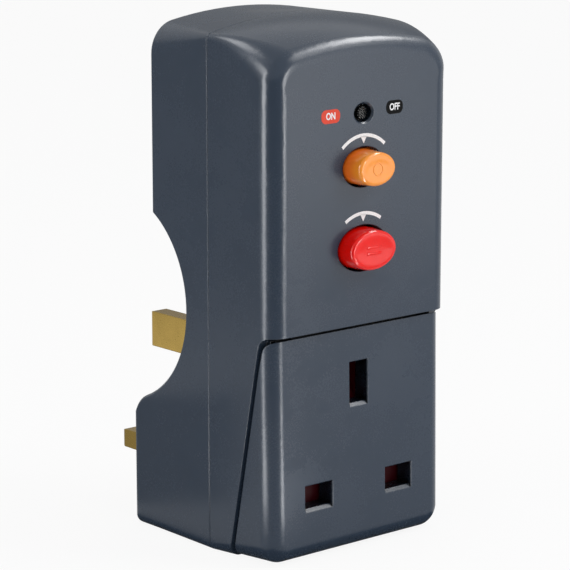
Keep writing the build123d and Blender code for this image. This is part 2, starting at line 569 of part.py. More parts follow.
def shutter():
    """Forked slide: two blades over the line apertures and a ramp in the earth aperture."""
    front, back = SHUTTER_FRONT_Y, SHUTTER_BACK_Y
    column = block(-SHUTTER_HALF, SHUTTER_HALF, front, back, BLADE_LOW_Z + 1, COLUMN_TOP_Z)
    column += block(-BLADE_HALF, BLADE_HALF, front, back, BLADE_LOW_Z, BLADE_TOP_Z)
    far, deep, high = front - 4, RAMP_BACK_Y + 6, COLUMN_TOP_Z + 9
    slope_low, slope_high = (front, RAMP_LOW_Z), (RAMP_BACK_Y, RAMP_TOP_Z)
    outline = [(far, RAMP_LOW_Z), slope_low, slope_high, (deep, RAMP_TOP_Z), (deep, high), (far, high)]
    window = side_prism(Polyline(*outline, close=True), -RAMP_HALF, RAMP_HALF)
    root = back - 1
    under = [(root, RAMP_LOW_Z - 2), (root, RAMP_LOW_Z), slope_high, (RAMP_BACK_Y, RAMP_TOP_Z - 1.6),
             (back, RAMP_LOW_Z - 2)]
    ramp = side_prism(Polyline(*under, close=True), -RAMP_HALF, RAMP_HALF)
    pocket = block(-SHUTTER_POCKET, SHUTTER_POCKET, front - 1, back + 1, BLADE_LOW_Z - 1, SHUTTER_POCKET_Z)
    return column - window - pocket + (ramp - window)


def button(z, half_x, half_z, face_y, flange_half, stem_end_y):
    """Oval push button: drafted cap with a rounded rim, retaining flange and stem."""
    cap = oval(z, half_x, half_z, face_y, FLANGE_FRONT_Y, BUTTON_DRAFT)
    cap = fillet(cap.faces().sort_by(Axis.Y)[0].edges(), BUTTON_ROUND)
    flange = bar(0, z, 2 * flange_half, 2 * FLANGE_HALF_Z, FLANGE_FRONT_Y, FLANGE_BACK_Y)
    return cap + flange + rod_y(0, z, STEM_RADIUS, FLANGE_BACK_Y, stem_end_y)


def reset_button():
    """Reset button whose long stem ends in a notch for the latch."""
    shape = button(RESET_Z, RESET_HALF_X, RESET_HALF_Z, RESET_FACE_Y, RESET_FLANGE_HALF, STEM_END_Y)
    notch = rod_y(0, RESET_Z, STEM_RADIUS + 1, NOTCH_FRONT_Y, NOTCH_BACK_Y)
    return shape - (notch - rod_y(0, RESET_Z, NECK_RADIUS, NOTCH_FRONT_Y, NOTCH_BACK_Y))


def test_button():
    """Test button with a short stem that presses the leaf."""
    return button(TEST_Z, TEST_HALF_X, TEST_HALF_Z, TEST_FACE_Y, TEST_FLANGE_HALF, LEAF_FRONT_Y - LEAF_GAP)


def test_leaf():
    """Spring leaf behind the test button, bent up at its free end."""
    low, high = TEST_Z - LEAF_HALF_Z, TEST_Z + LEAF_HALF_Z
    leaf = block(LEAF_LEFT_X, LEAF_RIGHT_X, LEAF_FRONT_Y, LEAF_BACK_Y, low, high)
    thick = LEAF_BACK_Y - LEAF_FRONT_Y
    return leaf + block(LEAF_LEFT_X, LEAF_LEFT_X + thick, LEAF_FRONT_Y, LEAF_BACK_Y + LEAF_HOOK, low, high)


def mechanism_frame():
    """Fixed moulding: legs to the front wall, carrier posts, spring pegs, flag ears and the leaf tab."""
    plate = block(-16.5, 16.5, FRAME_FRONT_Y, FRAME_BACK_Y, 44, 68)
    plate = chamfer(plate.edges().filter_by(Axis.Y), 1.2)
    plate -= rod_y(0, RESET_Z, STEM_RADIUS + 0.4, FRAME_FRONT_Y - 1, FRAME_BACK_Y + 1)
    plate -= block(-1.6, 1.6, FRAME_FRONT_Y - 1, FRAME_BACK_Y + 1, PUSHROD_Z - 1.5, PUSHROD_Z + 1.5)
    leg = block(13.0, 16.5, FRONT_Y + WALL, FRAME_FRONT_Y, 44.6, 48.0)
    leg += block(13.0, 16.5, FRONT_Y + WALL, FRAME_FRONT_Y, 64.0, 67.4)
    ear = block(4.4, 5.6, FLAG_Y - 1.7, FRAME_FRONT_Y, WINDOW_Z - 1.7, WINDOW_Z + 1.5)
    ear -= rod_x(FLAG_Y, WINDOW_Z, FLAG_AXLE + RUNNING, 4, 6)
    post = bar(POST_X, POST_Z, POST_WIDTH, POST_WIDTH, FRAME_BACK_Y, POST_END_Y)
    peg = bar(OPENING_SPRING_X, OPENING_SPRING_Z, PEG_WIDTH, PEG_WIDTH, FRAME_BACK_Y, FRAME_BACK_Y + 2)
    tab = block(10.5, 13.5, LEAF_BACK_Y, FRAME_FRONT_Y, TEST_Z - 2, 47)
    return plate + both_sides(leg + ear + post + peg) + tab


def contact_carrier():
    """Sliding carrier with post holes, spring pockets and the push rod for the flag."""
    body = block(-15, 15, CARRIER_FRONT_Y, CARRIER_BACK_Y, 46, 65.4)
    body = chamfer(body.edges().filter_by(Axis.Y), 1.2)
    body -= block(-13.5, -4.0, CARRIER_BACK_Y - 3, CARRIER_BACK_Y + 1, 52.5, 57.5)
    body -= rod_y(0, RESET_Z, STEM_RADIUS + 0.4, CARRIER_FRONT_Y - 1, CARRIER_BACK_Y + 1)
    body -= rod_y(LATCH_X, RESET_Z, LATCH_PIN_RADIUS, CARRIER_FRONT_Y + 1.5, CARRIER_BACK_Y + 1)
    hole = POST_WIDTH + 2 * RUNNING
    body -= both_sides(bar(POST_X, POST_Z, hole, hole, CARRIER_FRONT_Y - 1, CARRIER_BACK_Y + 1))
    pocket_end = CARRIER_FRONT_Y + SPRING_POCKET
    body -= both_sides(rod_y(OPENING_SPRING_X, OPENING_SPRING_Z, 2.7, CARRIER_FRONT_Y - 1, pocket_end))
    return body + block(-1.2, 1.2, PUSHROD_END_Y, CARRIER_FRONT_Y, PUSHROD_Z - 0.8, PUSHROD_Z + 0.8)


def contact_bridge(side):
    """Bridge on the carrier with a silver-faced tip at each end."""
    x = side * BRIDGE_X
    front = CARRIER_FRONT_Y - STRIP
    bridge = block(x - STRIP_HALF, x + STRIP_HALF, front, CARRIER_FRONT_Y, LOWER_TIP_Z - 2, UPPER_TIP_Z + 2)
    for z in (LOWER_TIP_Z, UPPER_TIP_Z):
        bridge += prism_y(x, z, TIP_RADIUS, TIP_SIDES, front - TIP, front)
    return bridge


def input_strip(side):
    """Lower fixed contact, joined to its lead below."""
    x = side * BRIDGE_X
    back = FRAME_BACK_Y + STRIP
    strip = block(x - STRIP_HALF, x + STRIP_HALF, FRAME_BACK_Y, back, STRIP_FOOT_Z, LOWER_TIP_Z + 2)
    return strip + prism_y(x, LOWER_TIP_Z, TIP_RADIUS, TIP_SIDES, back, back + TIP)


def output_strip(side):
    """Upper fixed contact, bent down past the frame to the socket contact."""
    outer, back = OUTPUT_X + STRIP, FRAME_BACK_Y + STRIP
    low, high = UPPER_TIP_Z - 2, UPPER_TIP_Z + 2
    strip = block(BRIDGE_X - STRIP_HALF, outer, FRAME_BACK_Y, back, low, high)
    strip += block(OUTPUT_X, outer, FRAME_BACK_Y, BLOCK_FRONT_Y, LINE_Z - 2.4, high)
    strip += prism_y(BRIDGE_X, UPPER_TIP_Z, TIP_RADIUS, TIP_SIDES, back, back + TIP)
    return strip if side > 0 else mirror(strip, about=Plane.YZ)


def latch_lever():
    """Flat lever: hub on its pin, arm up to the trip rod, fork round the reset stem."""
    y0, y1 = LATCH_Y, LATCH_Y + LATCH_THICK
    lever = rod_y(LATCH_X, RESET_Z, 2.6, y0, y1)
    lever += block(LATCH_X - 2.0, LATCH_X + 0.2, y0, y1, RESET_Z, COIL_Z + 2)
    lever += block(-5.0, LATCH_X, y0, y1, RESET_Z + STEM_RADIUS + 0.4, RESET_Z + STEM_RADIUS + 2.2)
    lever += block(STEM_RADIUS + 0.5, LATCH_X, y0, y1, RESET_Z - 2.0, RESET_Z + STEM_RADIUS + 1)
    lever += block(-5.0, -STEM_RADIUS - 0.7, y0, y1, RESET_Z - 2.0, RESET_Z + STEM_RADIUS + 1)
    return lever - rod_y(LATCH_X, RESET_Z, LATCH_PIN_RADIUS + RUNNING, y0 - 1, y1 + 1)


def latch_pin():
    """Pivot pin pressed into the carrier."""
    return rod_y(LATCH_X, RESET_Z, LATCH_PIN_RADIUS, CARRIER_FRONT_Y + 1.5, LATCH_Y + LATCH_THICK + 0.4)


def indicator_flag():
    """Curved two-colour flag on a hub with stub axles and a short arm for the push rod."""
    low, high = radians(180 - 22), radians(180 + 60)
    middle = (low + high) / 2

    def rim(radius, turn):
        return (FLAG_Y + radius * cos(turn), WINDOW_Z + radius * sin(turn))

    inner = FLAG_RADIUS - 1.0
    edges = [
        ThreePointArc(rim(FLAG_RADIUS, low), rim(FLAG_RADIUS, middle), rim(FLAG_RADIUS, high)),
        Line(rim(FLAG_RADIUS, high), rim(inner, high)),
        ThreePointArc(rim(inner, high), rim(inner, middle), rim(inner, low)),
        Line(rim(inner, low), rim(FLAG_RADIUS, low)),
    ]
    flag = side_prism(edges, -3.2, 3.2)
    spoke = [rim(0.5, low), rim(inner + 0.4, low + 0.3), rim(inner + 0.4, high - 0.5), rim(0.5, high)]
    flag += side_prism(Polyline(*spoke, close=True), -0.6, 0.6)
    flag += rod_x(FLAG_Y, WINDOW_Z, FLAG_AXLE, -5.5, 5.5)
    return flag + block(-0.8, 0.8, FLAG_Y - 0.8, FLAG_Y + 0.8, WINDOW_Z - FLAG_ARM - 1.0, WINDOW_Z)


def trip_plunger():
    """Steel plunger with a spring collar and a thin trip rod."""
    plunger = rod_x(COIL_Y, COIL_Z, 3.2, PLUNGER_BACK_X, PLUNGER_BACK_X + 1.0)
    plunger += rod_x(COIL_Y, COIL_Z, PLUNGER_RADIUS, PLUNGER_BACK_X, -4.0)
    return plunger + rod_x(COIL_Y, COIL_Z, 1.0, -4.0, LATCH_X - 2.5)


def coil_former():
    """Flanged bobbin."""
    former = rod_x(COIL_Y, COIL_Z, 3.1, COIL_LEFT_X, COIL_RIGHT_X)
    former += rod_x(COIL_Y, COIL_Z, COIL_FLANGE, COIL_LEFT_X, COIL_LEFT_X + 1)
    former += rod_x(COIL_Y, COIL_Z, COIL_FLANGE, COIL_RIGHT_X - 1, COIL_RIGHT_X)
    return former - rod_x(COIL_Y, COIL_Z, PLUNGER_RADIUS + RUNNING, COIL_LEFT_X - 1, COIL_RIGHT_X + 1)


def coil_winding():
    """Enamelled winding between the bobbin's flanges."""
    winding = rod_x(COIL_Y, COIL_Z, COIL_FLANGE - 0.6, COIL_LEFT_X + 1, COIL_RIGHT_X - 1)
    return winding - rod_x(COIL_Y, COIL_Z, 3.1, COIL_LEFT_X, COIL_RIGHT_X)


def coil_yoke():
    """Steel bracket round the coil, with the plunger's hole and the rod's hole."""
    left, right = COIL_LEFT_X - 1.2, COIL_RIGHT_X + 1.2
    web = COIL_Y + COIL_FLANGE
    yoke = block(left, right, COIL_Y - 5, BOARD_FRONT_Y, COIL_Z - 5, COIL_Z + 5)
    yoke -= block(COIL_LEFT_X, COIL_RIGHT_X, COIL_Y - 6, web, COIL_Z - 6, COIL_Z + 6)
    yoke -= rod_x(COIL_Y, COIL_Z, PLUNGER_RADIUS + RUNNING, left - 1, COIL_LEFT_X + 1)
    return yoke - rod_x(COIL_Y, COIL_Z, 1.0 + RUNNING, COIL_RIGHT_X - 1, right + 1)


def circuit_board():
    """Board behind the mechanism, stepped round the upper screw columns."""
    board = block(-18.5, 18.5, BOARD_FRONT_Y, BOARD_BACK_Y, 46, 71.5)
    board += block(-13.2, 13.2, BOARD_FRONT_Y, BOARD_BACK_Y, 71.5, 80)
    for x, z in BOARD_PEGS:
        board -= bar(x, z, BOARD_PEG_WIDTH, BOARD_PEG_WIDTH, BOARD_FRONT_Y - 1, BOARD_BACK_Y + 1)
    return board


def board_chip():
    """Sensing circuit in its flat package with two rows of legs."""
    chip = block(-14.0, -7.0, BOARD_FRONT_Y - 1.9, BOARD_FRONT_Y - 0.3, 48.0, 52.0)
    for k in range(5):
        x = -13.2 + 1.35 * k
        chip += block(x - 0.25, x + 0.25, BOARD_FRONT_Y - 0.9, BOARD_FRONT_Y, 47.2, 52.8)
    return chip


def board_capacitor():
    """Film capacitor."""
    body = block(14.2, 18.0, BOARD_FRONT_Y - 4.6, BOARD_FRONT_Y, 56, 66)
    return fillet(body.faces().sort_by(Axis.Y)[0].edges(), 0.8)


def board_resistors():
    """A row of resistors, each with its wire bent down to the board at both ends."""
    axis_y = BOARD_FRONT_Y - 1.1
    row = []
    for x in (-16.0, -13.0, -10.0):
        resistor = rod_z(x, axis_y, 0.9, 59.0, 64.0)
        resistor += block(x - 0.25, x + 0.25, axis_y - 0.25, axis_y + 0.25, 57.6, 65.4)
        for z in (57.6, 64.9):
            resistor += block(x - 0.25, x + 0.25, axis_y, BOARD_FRONT_Y, z, z + 0.5)
        row.append(resistor)
    return Compound(children=row)


def sensing_core():
    """Ring core on the shelf."""
    core = rod_z(0, CORE_Y, CORE_OUTER, CORE_BOTTOM_Z, CORE_TOP_Z)
    return core - rod_z(0, CORE_Y, CORE_INNER, CORE_BOTTOM_Z - 1, CORE_TOP_Z + 1)


def sensing_winding():
    """Winding wrapped round most of the core."""
    wrap = rod_z(0, CORE_Y, CORE_OUTER + WINDING, CORE_BOTTOM_Z - WINDING, CORE_TOP_Z + WINDING)
    wrap -= rod_z(0, CORE_Y, CORE_INNER - WINDING, CORE_BOTTOM_Z - 2, CORE_TOP_Z + 2)
    wrap -= sensing_core()
    return wrap - block(-2.5, 2.5, CORE_Y - 12, CORE_Y, CORE_BOTTOM_Z - 2, CORE_TOP_Z + 2)


def lead(side):
    """Insulated lead from a pin tail, up the spine and through the core to the input strip."""
    x = side * LINE_PIN_X
    route = [
        (x, PIN_TAIL_Y, LINE_Z),
        (x, -15.5, LINE_Z),
        (side * 5.3, -15.5, -3.0),
        (side * 5.3, -15.5, 17.0),
        (side * 2.2, CORE_Y, 22.5),
        (side * 2.2, CORE_Y, 38.0),
        (side * BRIDGE_X, FRAME_BACK_Y + 0.4, 40.0),
        (side * BRIDGE_X, FRAME_BACK_Y + 0.4, STRIP_FOOT_Z),
    ]
    path = FilletPolyline(*route, radius=[2.5, 2.5, 3.5, 3.5, 2.2, 2.2])
    section = Plane(origin=path @ 0, z_dir=path % 0) * RegularPolygon(LEAD_RADIUS, LEAD_SIDES)
    return sweep(section, path=path)


def along_y(spring, x, y, z):
    """A spring laid along +Y from a start point."""
    return Pos(x, y, z) * Rot(-90, 0, 0) * spring


def reset_spring():
    """Spring round the reset stem, between the flange and the frame."""
    return along_y(spring(3.1, 0.35, FRAME_FRONT_Y - FLANGE_BACK_Y), 0, FLANGE_BACK_Y, RESET_Z)


def carrier_springs():
    """The two opening springs, between the frame and the carrier's pockets."""
    length = CARRIER_FRONT_Y + SPRING_POCKET - FRAME_BACK_Y
    return Compound(children=[
        along_y(spring(2.0, 0.3, length), side * OPENING_SPRING_X, FRAME_BACK_Y, OPENING_SPRING_Z)
        for side in (-1, 1)
    ])


def plunger_spring():
    """Spring between the plunger's collar and the yoke."""
    start = PLUNGER_BACK_X + 1.0
    return Pos(start, COIL_Y, COIL_Z) * Rot(0, 90, 0) * spring(2.75, 0.25, COIL_LEFT_X - 1.2 - start)


def shutter_spring():
    """Spring between the floor of the cover and the shutter."""
    floor = BOTTOM_Z + WALL + LIP_CLEARANCE + LIP_WALL
    middle_y = (SHUTTER_FRONT_Y + SHUTTER_BACK_Y) / 2
    return Pos(0, middle_y, floor) * spring(1.6, 0.25, SHUTTER_POCKET_Z - floor)


def screw(x, z, seat, end, radius, head_radius, head):
    """Screw along -Y with a crossed recess in its head."""
    floor, top = seat + head / 2, seat + head
    shape = prism_y(x, z, head_radius, HEAD_SIDES, seat, top)
    shape -= bar(x, z, head_radius * CROSS_SPAN, CROSS_WIDTH, floor, top + 1)
    shape -= bar(x, z, CROSS_WIDTH, head_radius * CROSS_SPAN, floor, top + 1)
    return shape + prism_y(x, z, radius, SHANK_SIDES, end, seat)


def casing_screw(x, z, upper):
    """Casing screw in its recess."""
    end = (UPPER_BOSS_Y if upper else LOWER_BOSS_Y) + 2.0
    return screw(x, z, screw_seat_y(upper), end, SCREW_RADIUS, SCREW_HEAD_RADIUS, SCREW_HEAD)


def cover_screws():
    """Two screws through the contact block into the cover's posts."""
    return Compound(children=[
        screw(x, COVER_SCREW_Z, BLOCK_BACK_Y, COVER_SCREW_END + 0.5, COVER_SHANK, 2.4, 1.6)
        for x in (-COVER_SCREW_X, COVER_SCREW_X)
    ])


PARTS = {
    "rear_housing": rear_housing,
    "front_housing": front_housing,
    "socket_cover": socket_cover,
    "indicator_window": indicator_window,
    "earth_pin": earth_pin,
    "live_pin": lambda: line_pin(1),
    "neutral_pin": lambda: line_pin(-1),
    "live_pin_sleeve": lambda: pin_sleeve(1),
    "neutral_pin_sleeve": lambda: pin_sleeve(-1),
    "pin_retainer": pin_retainer,
    "earth_contact": earth_contact,
    "live_contact": lambda: line_contact(1),
    "neutral_contact": lambda: line_contact(-1),
    "contact_block": contact_block,
    "shutter": shutter,
    "shutter_spring": shutter_spring,
    "reset_button": reset_button,
    "reset_spring": reset_spring,
    "test_button": test_button,
    "test_leaf": test_leaf,
    "mechanism_frame": mechanism_frame,
    "contact_carrier": contact_carrier,
    "carrier_springs": carrier_springs,
    "live_bridge": lambda: contact_bridge(1),
    "neutral_bridge": lambda: contact_bridge(-1),
    "live_input_strip": lambda: input_strip(1),
    "neutral_input_strip": lambda: input_strip(-1),
    "live_output_strip": lambda: output_strip(1),
    "neutral_output_strip": lambda: output_strip(-1),
    "latch_lever": latch_lever,
    "latch_pin": latch_pin,
    "indicator_flag": indicator_flag,
    "trip_plunger": trip_plunger,
    "plunger_spring": plunger_spring,
    "coil_former": coil_former,
    "coil_winding": coil_winding,
    "coil_yoke": coil_yoke,
    "circuit_board": circuit_board,
    "board_chip": board_chip,
    "board_capacitor": board_capacitor,
    "board_resistors": board_resistors,
    "sensing_core": sensing_core,
    "sensing_winding": sensing_winding,
    "live_lead": lambda: lead(1),
    "neutral_lead": lambda: lead(-1),
    "housing_screws": lambda: Compound(children=at_corners(casing_screw)),
    "cover_screws": cover_screws,
}

for node, make in PARTS.items():
    export_step(make(), f"parts/{node}.step")
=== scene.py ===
import json
import logging
from abc import ABC, abstractmethod
from dataclasses import dataclass, field
from enum import Enum
from math import atan2, cos, pi, radians, sin
from typing import Any, Mapping, Optional, Sequence, Union

import bmesh
import bpy
from mathutils import Matrix, Vector


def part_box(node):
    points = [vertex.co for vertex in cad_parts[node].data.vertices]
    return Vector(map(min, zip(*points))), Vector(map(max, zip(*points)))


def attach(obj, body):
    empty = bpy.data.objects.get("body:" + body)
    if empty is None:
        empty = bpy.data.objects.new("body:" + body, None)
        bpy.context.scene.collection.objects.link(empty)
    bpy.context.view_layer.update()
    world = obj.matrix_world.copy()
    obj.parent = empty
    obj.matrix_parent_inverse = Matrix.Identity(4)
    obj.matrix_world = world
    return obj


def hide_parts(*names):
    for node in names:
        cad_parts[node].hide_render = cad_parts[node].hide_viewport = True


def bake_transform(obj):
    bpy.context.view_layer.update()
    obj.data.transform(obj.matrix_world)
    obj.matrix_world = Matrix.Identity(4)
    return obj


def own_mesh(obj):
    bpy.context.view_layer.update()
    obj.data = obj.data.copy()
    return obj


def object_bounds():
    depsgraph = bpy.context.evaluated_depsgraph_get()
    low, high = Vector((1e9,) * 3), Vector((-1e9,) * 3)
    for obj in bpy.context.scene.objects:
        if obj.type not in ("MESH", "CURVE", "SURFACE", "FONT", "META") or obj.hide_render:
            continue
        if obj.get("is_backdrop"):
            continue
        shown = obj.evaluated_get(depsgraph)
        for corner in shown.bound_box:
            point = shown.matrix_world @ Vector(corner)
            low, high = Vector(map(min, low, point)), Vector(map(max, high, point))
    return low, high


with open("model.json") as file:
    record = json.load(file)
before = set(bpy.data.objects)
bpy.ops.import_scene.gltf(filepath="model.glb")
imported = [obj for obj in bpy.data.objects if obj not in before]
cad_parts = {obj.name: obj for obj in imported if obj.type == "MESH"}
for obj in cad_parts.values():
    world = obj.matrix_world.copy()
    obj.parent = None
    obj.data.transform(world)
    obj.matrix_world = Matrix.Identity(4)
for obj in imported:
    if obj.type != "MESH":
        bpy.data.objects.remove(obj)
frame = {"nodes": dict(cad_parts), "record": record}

Colour = tuple[float, float, float, float]
Point = tuple[float, float, float]
Pair = tuple[float, float]
Inputs = Mapping[Union[str, int], Any]
Shape = bmesh.types.BMesh
Verts = Sequence[bmesh.types.BMVert]
Edges = Sequence[bmesh.types.BMEdge]

# Lengths, places and sizes are in metres where nothing else is said.
MM = 0.001
WHITE: Colour = (1.0, 1.0, 1.0, 1.0)
NOISE_MEAN = 0.5
WELD = 0.0005 * MM
FACING_FRONT = Matrix.Rotation(radians(90), 4, "X")
WINDOW_AXIS_Z = sum(corner.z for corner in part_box("indicator_window")) / 2
FLAG_AXLE_Y = -34.5 * MM

log = logging.getLogger("adaptor")


def linear(code: str) -> Colour:
    """Turns a screen colour into the linear values that a shader takes.

    Args:
        code: Colour as "#rrggbb".

    Returns:
        Red, green, blue and an alpha of 1, in linear light.
    """
    channels = (int(code[k:k + 2], 16) / 255 for k in (1, 3, 5))
    red, green, blue = (
        c / 12.92 if c <= 0.04045 else ((c + 0.055) / 1.055) ** 2.4 for c in channels
    )
    return red, green, blue, 1.0


def shade(colour: Colour, factor: float) -> Colour:
    """Multiplies the channels of a linear colour by a factor, and keeps them at 1 or below."""
    red, green, blue = (min(channel * factor, 1.0) for channel in colour[:3])
    return red, green, blue, 1.0


class Value:
    """What a node's socket gives, as a number, point or colour. Numbers take part in arithmetic."""

    def __init__(self, graph: "Graph", socket: bpy.types.NodeSocket) -> None:
        """Wraps a socket of a graph's tree."""
        self.graph = graph
        self.socket = socket

    def __add__(self, other: "Number") -> "Value":
        """Sum."""
        return self.graph.math("ADD", self, other)

    def __mul__(self, other: "Number") -> "Value":
        """Product."""
        return self.graph.math("MULTIPLY", self, other)

    def __sub__(self, other: "Number") -> "Value":
        """Difference."""
        return self.graph.math("SUBTRACT", self, other)

    def __rsub__(self, other: "Number") -> "Value":
        """Difference from a plain number."""
        return self.graph.math("SUBTRACT", other, self)

    __radd__ = __add__
    __rmul__ = __mul__


Number = Union[Value, float]
Tint = Union[Value, Colour]


class Graph:
    """A node tree under construction."""

    def __init__(self, tree: bpy.types.NodeTree) -> None:
        """Empties the tree of a material or of the world."""
        self.tree = tree
        tree.nodes.clear()

    def node(
        self, kind: str, settings: Optional[Mapping[str, Any]] = None,
        inputs: Optional[Inputs] = None,
    ) -> bpy.types.Node:
        """Adds one node.

        Args:
            kind: Node type, such as "ShaderNodeMath".
            settings: Properties, which are set first.
            inputs: Values or links of its sockets, by name or place.

        Returns:
            The new node.
        """
        made = self.tree.nodes.new(kind)
        for name, setting in (settings or {}).items():
            setattr(made, name, setting)
        for place, given in (inputs or {}).items():
            if isinstance(given, Value):
                self.tree.links.new(given.socket, made.inputs[place])
            else:
                made.inputs[place].default_value = given
        return made

    def value(
        self, kind: str, settings: Optional[Mapping[str, Any]] = None,
        inputs: Optional[Inputs] = None, output: Union[str, int] = 0,
    ) -> Value:
        """Adds one node as above, and wraps one of its outputs, by name or place."""
        return Value(self, self.node(kind, settings, inputs).outputs[output])

    def math(self, operation: str, first: Number, second: Number) -> Value:
        """Result of a Math node's operation on two numbers."""
        return self.value("ShaderNodeMath", {"operation": operation}, {0: first, 1: second})

    def position(self) -> Value:
        """The surface point in the object's own coordinates."""
        return self.value("ShaderNodeTexCoord", output="Object")

    def stretched(self, point: Value, factors: Point) -> Value:
        """A point with its coordinates multiplied, so that a pattern runs finer along some axes."""
        settings = {"vector_type": "POINT"}
        return self.value("ShaderNodeMapping", settings, {0: point, "Scale": factors})

    def axis(self, point: Value, letter: str) -> Value:
        """One coordinate of a point, by the letter "X", "Y" or "Z"."""
        return self.value("ShaderNodeSeparateXYZ", inputs={0: point}, output=letter)

    def noise(self, point: Value, size: float, detail: float = 2.0) -> Value:
        """Soft random spots up to a size in metres: values round 0.5, mostly 0.3 to 0.7."""
        inputs = {"Vector": point, "Scale": 1 / size, "Detail": detail}
        return self.value("ShaderNodeTexNoise", inputs=inputs)

    def between(self, factor: Number, low: Tint, high: Tint) -> Value:
        """Mix of two colours, where a factor of 0 gives the first and 1 the second."""
        return self.value("ShaderNodeMix", {"data_type": "RGBA"}, {0: factor, 6: low, 7: high}, 2)

    def mottled(self, base: Colour, pattern: Value, share: float) -> Value:
        """A colour that a pattern makes darker and lighter by a share."""
        return self.between(pattern, shade(base, 1 - share), shade(base, 1 + share))

    def smooth_step(self, value: Value, low: float, high: float) -> Value:
        """Rises from 0 to 1 as the value goes from low to high."""
        inputs = {"Value": value, "From Min": low, "From Max": high}
        return self.value("ShaderNodeMapRange", {"interpolation_type": "SMOOTHSTEP"}, inputs)

    def soft_edges(self, radius: float) -> Value:
        """A normal that rounds sharp edges by a small radius."""
        return self.value("ShaderNodeBevel", {"samples": 6}, {"Radius": radius})

    def bump(self, height: Value, depth: float, normal: Optional[Value] = None) -> Value:
        """Adds relief from a height pattern.

        Args:
            height: Pattern from 0 to 1.
            depth: Its height.
            normal: Normal that it starts from.

        Returns:
            The new normal.
        """
        inputs = {"Height": height, "Strength": 1.0, "Distance": depth}
        if normal is not None:
            inputs["Normal"] = normal
        return self.value("ShaderNodeBump", inputs=inputs)

    def openness_for_painted_shade(self, reach: float, closed: float, free: float) -> Value:
        """Finds how far the piece's own walls leave a surface open, as a mask for painted shade.

        Args:
            reach: Distance over which they count.
            closed: Share of open sky at which a surface counts as closed in, at the bottom of a
                hole.
            free: Share at which it counts as free.

        Returns:
            0 at the bottom of a hole, 1 on a free face.
        """
        settings = {"samples": 8, "only_local": True}
        sky = self.value("ShaderNodeAmbientOcclusion", settings, {"Distance": reach}, "AO")
        return self.smooth_step(sky, closed, free)

    def glow(self, level: float) -> Value:
        """Shader that looks white at a level of 1 and needs no light."""
        return self.value("ShaderNodeEmission", inputs={"Color": WHITE, "Strength": level})

    def end(self, shader: Value, kind: str = "ShaderNodeOutputMaterial") -> None:
        """Ends the tree in a shader."""
        self.node(kind, inputs={"Surface": shader})

    def surface(self, inputs: Inputs) -> None:
        """Ends the tree in a Principled shader with the given sockets."""
        self.end(self.value("ShaderNodeBsdfPrincipled", inputs=inputs))


def new_material(name: str) -> tuple[bpy.types.Material, Graph]:
    """Makes a material without nodes.

    Args:
        name: Name of the material.

    Returns:
        The material and its tree.
    """
    made = bpy.data.materials.new(name)
    made.use_nodes = True
    return made, Graph(made.node_tree)


@dataclass(frozen=True)
class Finish(ABC):
    """What a surface is made of. Each finish becomes one material, made once.

    Attributes:
        name: Name of the finish.
        slot: Material slot of the record; not used.
    """

    name: str
    slot: str

    @abstractmethod
    def build(self, graph: Graph) -> None:
        """Fills in the material's nodes."""

    def material(self) -> bpy.types.Material:
        """Gives the finish's material, and builds it on its first use.

        Returns:
            The material.
        """
        label = "finish_" + self.name
        made = bpy.data.materials.get(label)
        if not made:
            made, graph = new_material(label)
            self.build(graph)
        return made


@dataclass(frozen=True)
class SparkedPlastic(Finish):
    """Moulded plastic with the fine matt grain that a spark-eroded tool leaves.

    Attributes:
        colour: Screen colour.
        roughness: Roughness between the grains.
        grain: Size of a grain.
        depth: Height of the grain.
        edge: Radius that softens sharp edges.
        specular: Strength of the clear reflection.
        painted_shade_reach: Reach over which the piece's own walls paint shade into gaps and holes,
            or 0 for none.
        open_sky: Share of open sky at which the painted shade is full, and share at which a free
            face has none.
        painted_gap_shade: Brightness of the colour painted as shade where that shade is full.
        highlight_and_wear: Brightness of the colour that grain crests take as a painted highlight,
            and handling marks take as wear.
        mottle: Share by which slow clouds change the colour.
        cloud: Size of a cloud.
        rub: Size of a handling mark.
    """

    colour: str
    roughness: float = 0.36
    grain: float = 0.32 * MM
    depth: float = 0.006 * MM
    edge: float = 0.22 * MM
    specular: float = 0.5
    # Painted shade: the next three set how gaps and holes darken in colour.
    painted_shade_reach: float = 0.0
    open_sky: Pair = (0.56, 0.97)
    painted_gap_shade: float = 0.05
    highlight_and_wear: float = 1.22
    mottle: float = 0.07
    cloud: float = 16.0 * MM
    rub: float = 9.0 * MM

    def build(self, graph: Graph) -> None:
        """Gives grain to the relief, clouds to colour and sheen, faint handling marks, a painted
        highlight on grain crests, and painted shade in holes and gaps.

        Args:
            graph: The material's tree.
        """
        point = graph.position()
        grain = graph.noise(point, self.grain, detail=3.0)
        cloud = graph.noise(point, self.cloud, detail=3.0)
        rubs = graph.noise(graph.stretched(point, (1.0, 1.0, 1.6)), self.rub, detail=3.0)
        rubbed = graph.smooth_step(rubs, low=0.52, high=0.74)
        sheen = (cloud - NOISE_MEAN) * 0.16 + (grain - NOISE_MEAN) * 0.12 - rubbed * 0.05
        base = linear(self.colour)
        colour = graph.mottled(base, cloud, self.mottle)
        # Painted highlight: grain crests turn lighter; handling marks lighten too, as wear.
        colour = graph.between(grain * 0.5 + rubbed * 0.08, colour, shade(base, self.highlight_and_wear))
        # Painted shade: ambient occlusion from the piece's own walls darkens the colour in gaps and
        # holes.
        if self.painted_shade_reach:
            shown = graph.openness_for_painted_shade(self.painted_shade_reach, *self.open_sky)
            colour = graph.between(shown, shade(base, self.painted_gap_shade), colour)
        normal = graph.soft_edges(self.edge) if self.edge else None
        graph.surface({
            "Base Color": colour,
            "Roughness": sheen + self.roughness,
            "Normal": graph.bump(grain, self.depth, normal),
            "Specular IOR Level": self.specular,
        })


